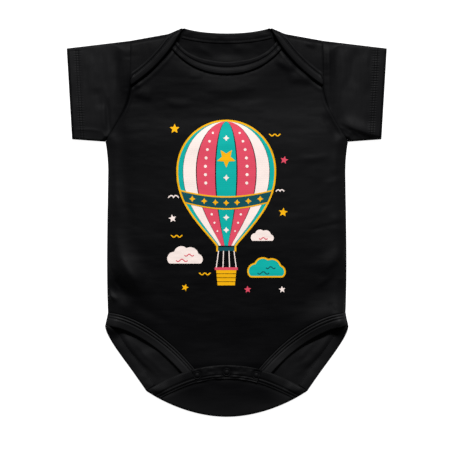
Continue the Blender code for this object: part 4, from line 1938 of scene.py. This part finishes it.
@dataclass
class BalloonPrint:
    """A hot-air balloon among clouds, stars, gulls and wind, screened on the chest.

    Each shape is a grid of places (rows, columns, 2).
    """

    relief: Relief
    middle: float = -0.5
    crown: float = 97.0
    shoulder: float = 50.0
    mouth: float = -22.0
    radius: float = 46.0
    waist: Knot = (20.0, 30.0)
    waist_edge: float = 1.4
    sag: float = 6.0
    gores: int = 7
    gore_gap: float = 0.012
    dot_reach: float = 0.434
    dot_rows: tuple[float, ...] = (86.0, 78.0, 70.0, 62.0, 54.0, 46.0, 38.0, 8.0, 0.0, -8.0)
    rope_ends: tuple[Knot, ...] = ((-7.4, -9.6), (-2.6, -3.2), (2.6, 3.2), (7.4, 9.6))
    slats: tuple[float, ...] = (-60.0, -56.2, -52.4, -48.6)
    lift: float = 0.12
    film: float = 0.12
    sunk: float = 0.2
    puffs: tuple[tuple[float, float, float], ...] = (
        (-0.62, -0.02, 0.38), (-0.2, 0.26, 0.42), (0.3, 0.16, 0.46), (0.68, -0.06, 0.32),
        (0.0, -0.05, 0.5),
    )
    pieces: list[bpy.types.Object] = field(default_factory=list)

    @staticmethod
    def upright(grid: Array) -> Array:
        """The grid with its rows in the order that makes it face up.

        Args:
            grid: a grid, (rows, columns, 2).

        Returns:
            the same places.
        """
        down, across = np.diff(grid, axis=0)[:, :-1], np.diff(grid, axis=1)[:-1]
        turn = (down[..., 0] * across[..., 1] - down[..., 1] * across[..., 0]).sum()
        return grid if turn > 0.0 else grid[::-1]

    def lay(self, name: str, grids: Sequence[Array], ink: InkColour, layer: int = 0) -> None:
        """Screen shapes of one ink on the cloth.

        Args:
            name: the piece's name after print_.
            grids: each shape's places, (rows, columns, 2).
            ink: their ink.
            layer: how many films lie under them.
        """
        rise = self.lift + layer * self.film

        def height(flat: Array) -> Array:
            """The film's outer face."""
            return self.relief.front(flat) + rise

        mesh, _ = drape("print_" + name, [(self.upright(grid), height, False) for grid in grids])
        mend(mesh, merge=0.02, crisp=True)
        if sum(face.normal.z for face in mesh.polygons) < 0.0:
            mesh.flip_normals()
        self.pieces.append(
            thicken(install("print_" + name, mesh, ink.finish()), self.film + self.sunk))

    def half_width(self, y: Array | float) -> Array:
        """The envelope's half width: a circle above its shoulder, a cosine taper below it.

        Args:
            y: height or heights up the envelope.

        Returns:
            the half width at each.
        """
        rise = (y - self.shoulder) / (self.crown - self.shoulder)
        fall = np.clip((self.shoulder - y) / (self.shoulder - self.mouth), 0.0, 1.0)
        taper = 0.17 + 0.83 * np.cos(0.5 * np.pi * fall**1.15) ** 1.1
        top = np.sqrt(np.clip(1.0 - rise**2, 0.0, 1.0))
        return self.radius * np.where(rise > 0.0, top, taper)

    def meridian(self, longitude: float, bottom: float, top: float, steps: int = 60) -> Array:
        """A line up the envelope, at the sine of its longitude of the half width."""
        y = bottom + (0.5 - 0.5 * np.cos(np.linspace(0.0, np.pi, steps))) * (top - bottom)
        return np.column_stack((self.middle + self.half_width(y) * np.sin(longitude), y))

    def gore(self, low: float, high: float, bottom: float, top: float) -> Array:
        """A gore of the envelope between the meridians of two longitudes."""
        turns = np.linspace(low, high, 7)
        return np.stack([self.meridian(turn, bottom, top) for turn in turns], axis=1)

    def hang(self, share: Array | float) -> Array:
        """How far a band hangs down at a share of the half width."""
        return self.sag * (1.0 - share**2)

    def band(self, low: float, high: float) -> Array:
        """A band round the envelope, hanging in a shallow curve.

        Args:
            low: height of its lower edge.
            high: height of its upper edge.

        Returns:
            the band.
        """
        share = np.linspace(-1.0, 1.0, 50)[None]
        y = (low + np.linspace(0.0, 1.0, 9)[:, None] * (high - low)) - self.hang(share)
        return np.dstack((self.middle + share * (self.half_width(y) + 0.05), y))

    @staticmethod
    def blob(
        centre: Knot, outline: Callable[[Array], Array], rings: int = 5, steps: int = 60
    ) -> Array:
        """A filled shape round a centre.

        Args:
            centre: its middle.
            outline: the radius as a function of the angle.
            rings: number of rings from the middle to the outline.
            steps: number of points round it.

        Returns:
            A grid of places whose first row is the centre.
        """
        angle = np.linspace(0.0, 2.0 * np.pi, steps + 1)
        reach = np.linspace(0.0, 1.0, rings)[:, None] * outline(angle)[None]
        return np.dstack((centre[0] + reach * np.cos(angle), centre[1] + reach * np.sin(angle)))

    def cloud(self, centre: Knot, size: float) -> Array:
        """A cloud: the outer envelope of its puffs over a flat foot.

        Its radius at each angle is the farthest of its puffs' circles, found from the circle's
        equation in polar form, cut off level at the foot.

        Args:
            centre: its middle.
            size: its half width.

        Returns:
            A grid of places whose last row is the outline.
        """
        puffs = np.array(self.puffs)

        def outline(angle: Array) -> Array:
            """The farthest circle in each direction, then the foot's line."""
            dot = np.column_stack((np.cos(angle), np.sin(angle))) @ puffs[:, :2].T
            room = dot**2 - (puffs[:, :2] ** 2).sum(axis=1) + puffs[:, 2] ** 2
            reach = np.where(room > 0.0, dot + np.sqrt(np.maximum(room, 0.0)), 0.05).max(axis=1)
            fall = np.minimum(np.sin(angle), -1e-3)
            return size * np.minimum(reach, np.where(np.sin(angle) < -1e-3, -0.3 / fall, 9.0))

        return self.blob(centre, outline, 12, 144)

    def star(
        self, centre: Knot, size: float, turn: float = 0.0, points: int = 5, waist: float = 0.45
    ) -> Array:
        """A star with straight sides, in polar form.

        Args:
            centre: its middle.
            size: the reach of its points.
            turn: how far it is turned, in radians.
            points: how many it has.
            waist: the reach between them, as a share of its size.

        Returns:
            A grid of places.
        """
        half = np.pi / points
        side = np.array((np.cos(half) - waist, np.sin(half)))

        def outline(angle: Array) -> Array:
            """The distance to the side of a point, mirrored into half of its share of the turn."""
            within_point = np.abs((angle - turn) % (2.0 * half) - half)
            slope = np.cos(within_point) * side[1] - np.sin(within_point) * side[0]
            return size * waist * side[1] / slope

        return self.blob(centre, outline, 5, 12 * points)

    def diamond(self, y: float, share: float = 0.0) -> Array:
        """A star of four points, at a share of the envelope's half width."""
        x = self.middle + share * float(self.half_width(np.array(y)))
        return self.star((x, y), 3.0, 0.0, 4, 0.5)

    @staticmethod
    def ribbon(path: Array, width: float) -> Array:
        """A line of even width along a path.

        Args:
            path: the line's places, (n, 2).
            width: its width.

        Returns:
            the ribbon.
        """
        smooth = resample(path, max(8, int(along(path)[-1] / 0.8)))
        low, high = offset(smooth, -0.5 * width), offset(smooth, 0.5 * width)
        return ruled(low, high, np.linspace(0.0, 1.0, 3))

    def breeze(self, x: float, y: float, length: float, crests: float, width: float) -> Array:
        """A breath of wind: a level line in low waves round a place.

        Args:
            x: its middle, across.
            y: its middle, up.
            length: its length.
            crests: how many waves.
            width: its width.

        Returns:
            the line as a ribbon.
        """
        share = np.linspace(-0.5, 0.5, 40)
        sway = 0.5 * length / (3.0 * crests) * np.cos(2.0 * np.pi * crests * share)
        return self.ribbon(np.column_stack((x + length * share, y + sway)), width)

    def disc(self, centre: Knot, radius: float) -> Array:
        """A round dot."""
        return self.blob(centre, lambda angle: np.full(angle.shape, radius))

    def gull(self, centre: Knot, size: float) -> Array:
        """A gull far off: two arched wings.

        Args:
            centre: where its wings meet.
            size: its scale.

        Returns:
            both wings as one ribbon.
        """
        span = np.linspace(-1.0, 1.0, 25)
        arch = 0.42 * np.sin(np.pi * np.abs(span) ** 0.8)
        return self.ribbon(np.array(centre) + size * np.column_stack((span, arch)), 1.1)

    def envelope(self) -> None:
        """The envelope: seven gores in an amber outline, with a waistband, an emblem and dots."""
        edges = np.linspace(-0.5 * np.pi, 0.5 * np.pi, self.gores + 1)
        inks = (InkColour.TEAL, InkColour.CREAM, InkColour.CORAL, InkColour.TEAL,
                InkColour.CORAL, InkColour.CREAM, InkColour.TEAL)
        for number, ink in enumerate(inks, 1):
            low, high = edges[number - 1] + self.gore_gap, edges[number] - self.gore_gap
            self.lay(f"gore_{number}", [self.gore(low, high, self.mouth, self.crown)], ink)
        left, right = (self.meridian(turn, self.mouth - 5.5, self.crown) for turn in edges[[0, -1]])
        outline = self.ribbon(offset(chain(left, right[::-1]), 0.9), 1.7)
        low, high = self.waist
        edging = self.band(low - self.waist_edge, high + self.waist_edge)
        self.lay("outline", [outline], InkColour.AMBER, 1)
        self.lay("waistband_edge", [edging], InkColour.AMBER, 2)
        self.lay("waistband", [self.band(low, high)], InkColour.DEEP, 3)
        middle = 0.5 * (low + high)
        diamonds = [self.diamond(middle - self.hang(share), share)
                    for share in np.linspace(-0.8, 0.8, 7)]
        self.lay("diamonds", diamonds, InkColour.AMBER, 4)
        widths = self.half_width(np.array(self.dot_rows))
        dots = [self.disc((self.middle + side * self.dot_reach * wide, y), 0.3 + 0.025 * wide)
                for side in (-1.0, 1.0) for y, wide in zip(self.dot_rows, widths)]
        self.lay("dots", dots, InkColour.CREAM, 1)
        emblem = self.star((self.middle, 62.0), 9.4, 0.5 * np.pi + np.pi / 5.0)
        self.lay("emblem", [emblem], InkColour.AMBER, 1)
        small = [self.diamond(y) for y in (81.0, 43.0, 5.0, -7.0)]
        self.lay("small_diamonds", small, InkColour.CREAM, 1)

    def basket(self) -> None:
        """The skirt, the ropes and the woven basket under a padded rim."""
        half, hem = 0.5 * np.pi, self.mouth - 5.0
        self.lay("skirt", [self.gore(-half, half, hem, self.mouth - 1.2)], InkColour.DEEP)
        slats = []
        for foot in self.slats:
            rows = np.linspace(foot, foot + 3.2, 4)[:, None]
            reach = 9.0 * (1.0 + 0.16 * (rows + 52.5) / 15.0) * np.linspace(-1.0, 1.0, 16)
            slats.append(np.dstack((self.middle + reach, np.broadcast_to(rows, reach.shape))))
        self.lay("basket", slats, InkColour.AMBER)
        rim = straight((self.middle - 11.0, -44.0), (self.middle + 11.0, -44.0))
        self.lay("rim", [self.ribbon(rim, 2.6)], InkColour.CORAL, 1)
        ropes = [straight((self.middle + high, hem), (self.middle + low, -43.5))
                 for high, low in self.rope_ends]
        self.lay("ropes", [self.ribbon(rope, 0.9) for rope in ropes], InkColour.CREAM)

    def sky(self) -> None:
        """The clouds, the winds, the stars and the gulls."""
        bank = self.cloud((38.0, -46.0), 17.0)
        self.lay("bank", [bank], InkColour.TEAL)
        self.lay("bank_outline", [self.ribbon(offset(bank[-1], -0.7), 1.5)], InkColour.AMBER, 1)
        clouds = [self.cloud((-40.0, -34.0), 17.0), self.cloud((34.0, -14.0), 11.0)]
        self.lay("clouds", clouds, InkColour.CREAM)
        breezes = (
            ("cloud_marks", InkColour.CORAL, 1, 1.5, 0.9,
             ((-43.0, -36.0, 11.0), (-36.0, -31.0, 9.0), (35.0, -15.0, 8.0))),
            ("bank_marks", InkColour.DEEP, 1, 1.5, 0.9, ((35.0, -48.0, 11.0), (42.0, -43.0, 9.0))),
            ("winds", InkColour.AMBER, 0, 2.0, 1.1,
             ((46.0, 84.0, 11.0), (-48.0, -13.0, 11.0), (-21.0, -49.0, 11.0))),
        )
        for name, ink, layer, crests, width, places in breezes:
            self.lay(name, [self.breeze(*place, crests, width) for place in places], ink, layer)
        stars = {
            InkColour.AMBER: ((-50, 90, 5.0, 0.3), (54, 10, 4.6, 0.2), (-40, -62, 3.6, 0.0)),
            InkColour.CREAM: ((-52, 4, 4.0, 0.5), (53, -64, 3.4, 0.4)),
            InkColour.CORAL: ((55, 60, 4.0, 0.1), (20, -64, 3.6, 0.4)),
        }
        for ink, places in stars.items():
            shapes = [self.star((x, y), size, turn) for x, y, size, turn in places]
            self.lay(f"stars_{ink.name.lower()}", shapes, ink)
        gulls = [self.gull((-51.0, 24.0), 5.0), self.gull((51.0, 30.0), 4.0)]
        self.lay("gulls", gulls, InkColour.CREAM)

    def build(self) -> list[bpy.types.Object]:
        """Screen the whole design.

        Returns:
            the print's pieces.
        """
        self.envelope()
        self.basket()
        self.sky()
        return self.pieces


# --- Studio ---


@dataclass(frozen=True)
class Softbox:
    """One rectangular softbox, aimed at the garment's middle."""

    name: str
    place: tuple[float, float, float]
    size: Knot
    watts: float

    def build(self) -> None:
        """Hang the light, unseen by the camera itself.

        Its turn tilts it about X by the angle from Z, then heads it about Z.
        """
        data = bpy.data.lights.new(self.name, "AREA")
        data.shape = "RECTANGLE"
        data.size, data.size_y = self.size
        data.energy = self.watts
        lamp = bpy.data.objects.new(self.name, data)
        bpy.context.scene.collection.objects.link(lamp)
        lamp.location = self.place
        x, y, z = np.array(self.place) / np.linalg.norm(self.place)
        lamp.rotation_euler = (float(np.arccos(z)), 0.0, float(np.arctan2(x, -y)))
        lamp.visible_camera = False


@dataclass(frozen=True)
class Studio:
    """The pale board, even soft light and a long lens straight above."""

    lens: float = 135.0
    field_width: float = 0.4338
    aim: Knot = (-0.0017, -0.0022)
    far: float = 50.0
    sky: float = 0.15
    board: float = 4000.0
    board_height: float = -0.05
    softboxes: tuple[Softbox, ...] = (
        Softbox("top_softbox", (0.0, 3.1, 2.7), (1.3, 0.7), 300.0),
        Softbox("left_softbox", (-1.0, 0.3, 0.6), (0.5, 1.0), 0.6),
        Softbox("right_softbox", (1.0, 0.3, 0.6), (0.5, 1.0), 0.6),
    )

    def floor(self) -> None:
        """The board that the garment lies on."""
        square = ((-1, -1), (1, -1), (1, 1), (-1, 1))
        corners = np.array([(self.board * x, self.board * y, self.board_height) for x, y in square])
        mesh = make_mesh("studio_board", corners, [[0, 1, 2, 3]])
        board = bpy.data.objects.new("studio_board", mesh)
        bpy.context.scene.collection.objects.link(board)
        mesh.materials.append(BOARD.material())

    def daylight(self) -> None:
        """Even white light from all round."""
        world = bpy.data.worlds.new("even daylight")
        world.use_nodes = True
        tree = world.node_tree
        tree.nodes.clear()
        white = {"Color": linear("#ffffff"), "Strength": self.sky}
        sky = add_node(tree, "ShaderNodeBackground", white)
        add_node(tree, "ShaderNodeOutputWorld", {"Surface": sky})
        bpy.context.scene.world = world

    def camera(self) -> None:
        """The camera above the garment's middle, with the neck at the top of the picture."""
        data = bpy.data.cameras.new("overhead")
        data.lens = self.lens
        data.clip_end = self.far
        view = bpy.data.objects.new("overhead", data)
        bpy.context.scene.collection.objects.link(view)
        view.location = (*self.aim, self.field_width * data.lens / data.sensor_width)
        bpy.context.scene.camera = view

    def build(self) -> None:
        """Set up the board, the light and the camera."""
        self.floor()
        self.daylight()
        for softbox in self.softboxes:
            softbox.build()
        self.camera()
        bpy.context.scene.view_settings.view_transform = "Standard"


# --- The garment ---


class Hold(Enum):
    """How a cloth panel is held."""

    LAID = "laid"
    FOLDED = "folded"


@dataclass
class Bodysuit:
    """The whole garment."""

    relief: Relief = field(default_factory=Relief)

    def build(self) -> None:
        """Cut, drape, bind and print every piece."""
        back = BackCloth(self.relief).build()
        front = FrontCloth(self.relief).build()
        arms = [Sleeve(self.relief, side) for side in (1.0, -1.0)]
        sleeves = [(arm.build(), arm.sew()) for arm in arms]
        bindings = Bindings(self.relief).build()
        snaps = [Snap(self.relief, name, place).build() for name, place in SNAP_PLACES.items()]
        design = BalloonPrint(self.relief).build()
        for sleeve, hem in sleeves:
            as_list(hem)


def main() -> None:
    """Dress the frame."""
    logging.basicConfig(level=logging.INFO, format="%(name)s: %(message)s")
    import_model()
    Studio().build()
    Bodysuit().build()


if __name__ == "__main__":
    main()
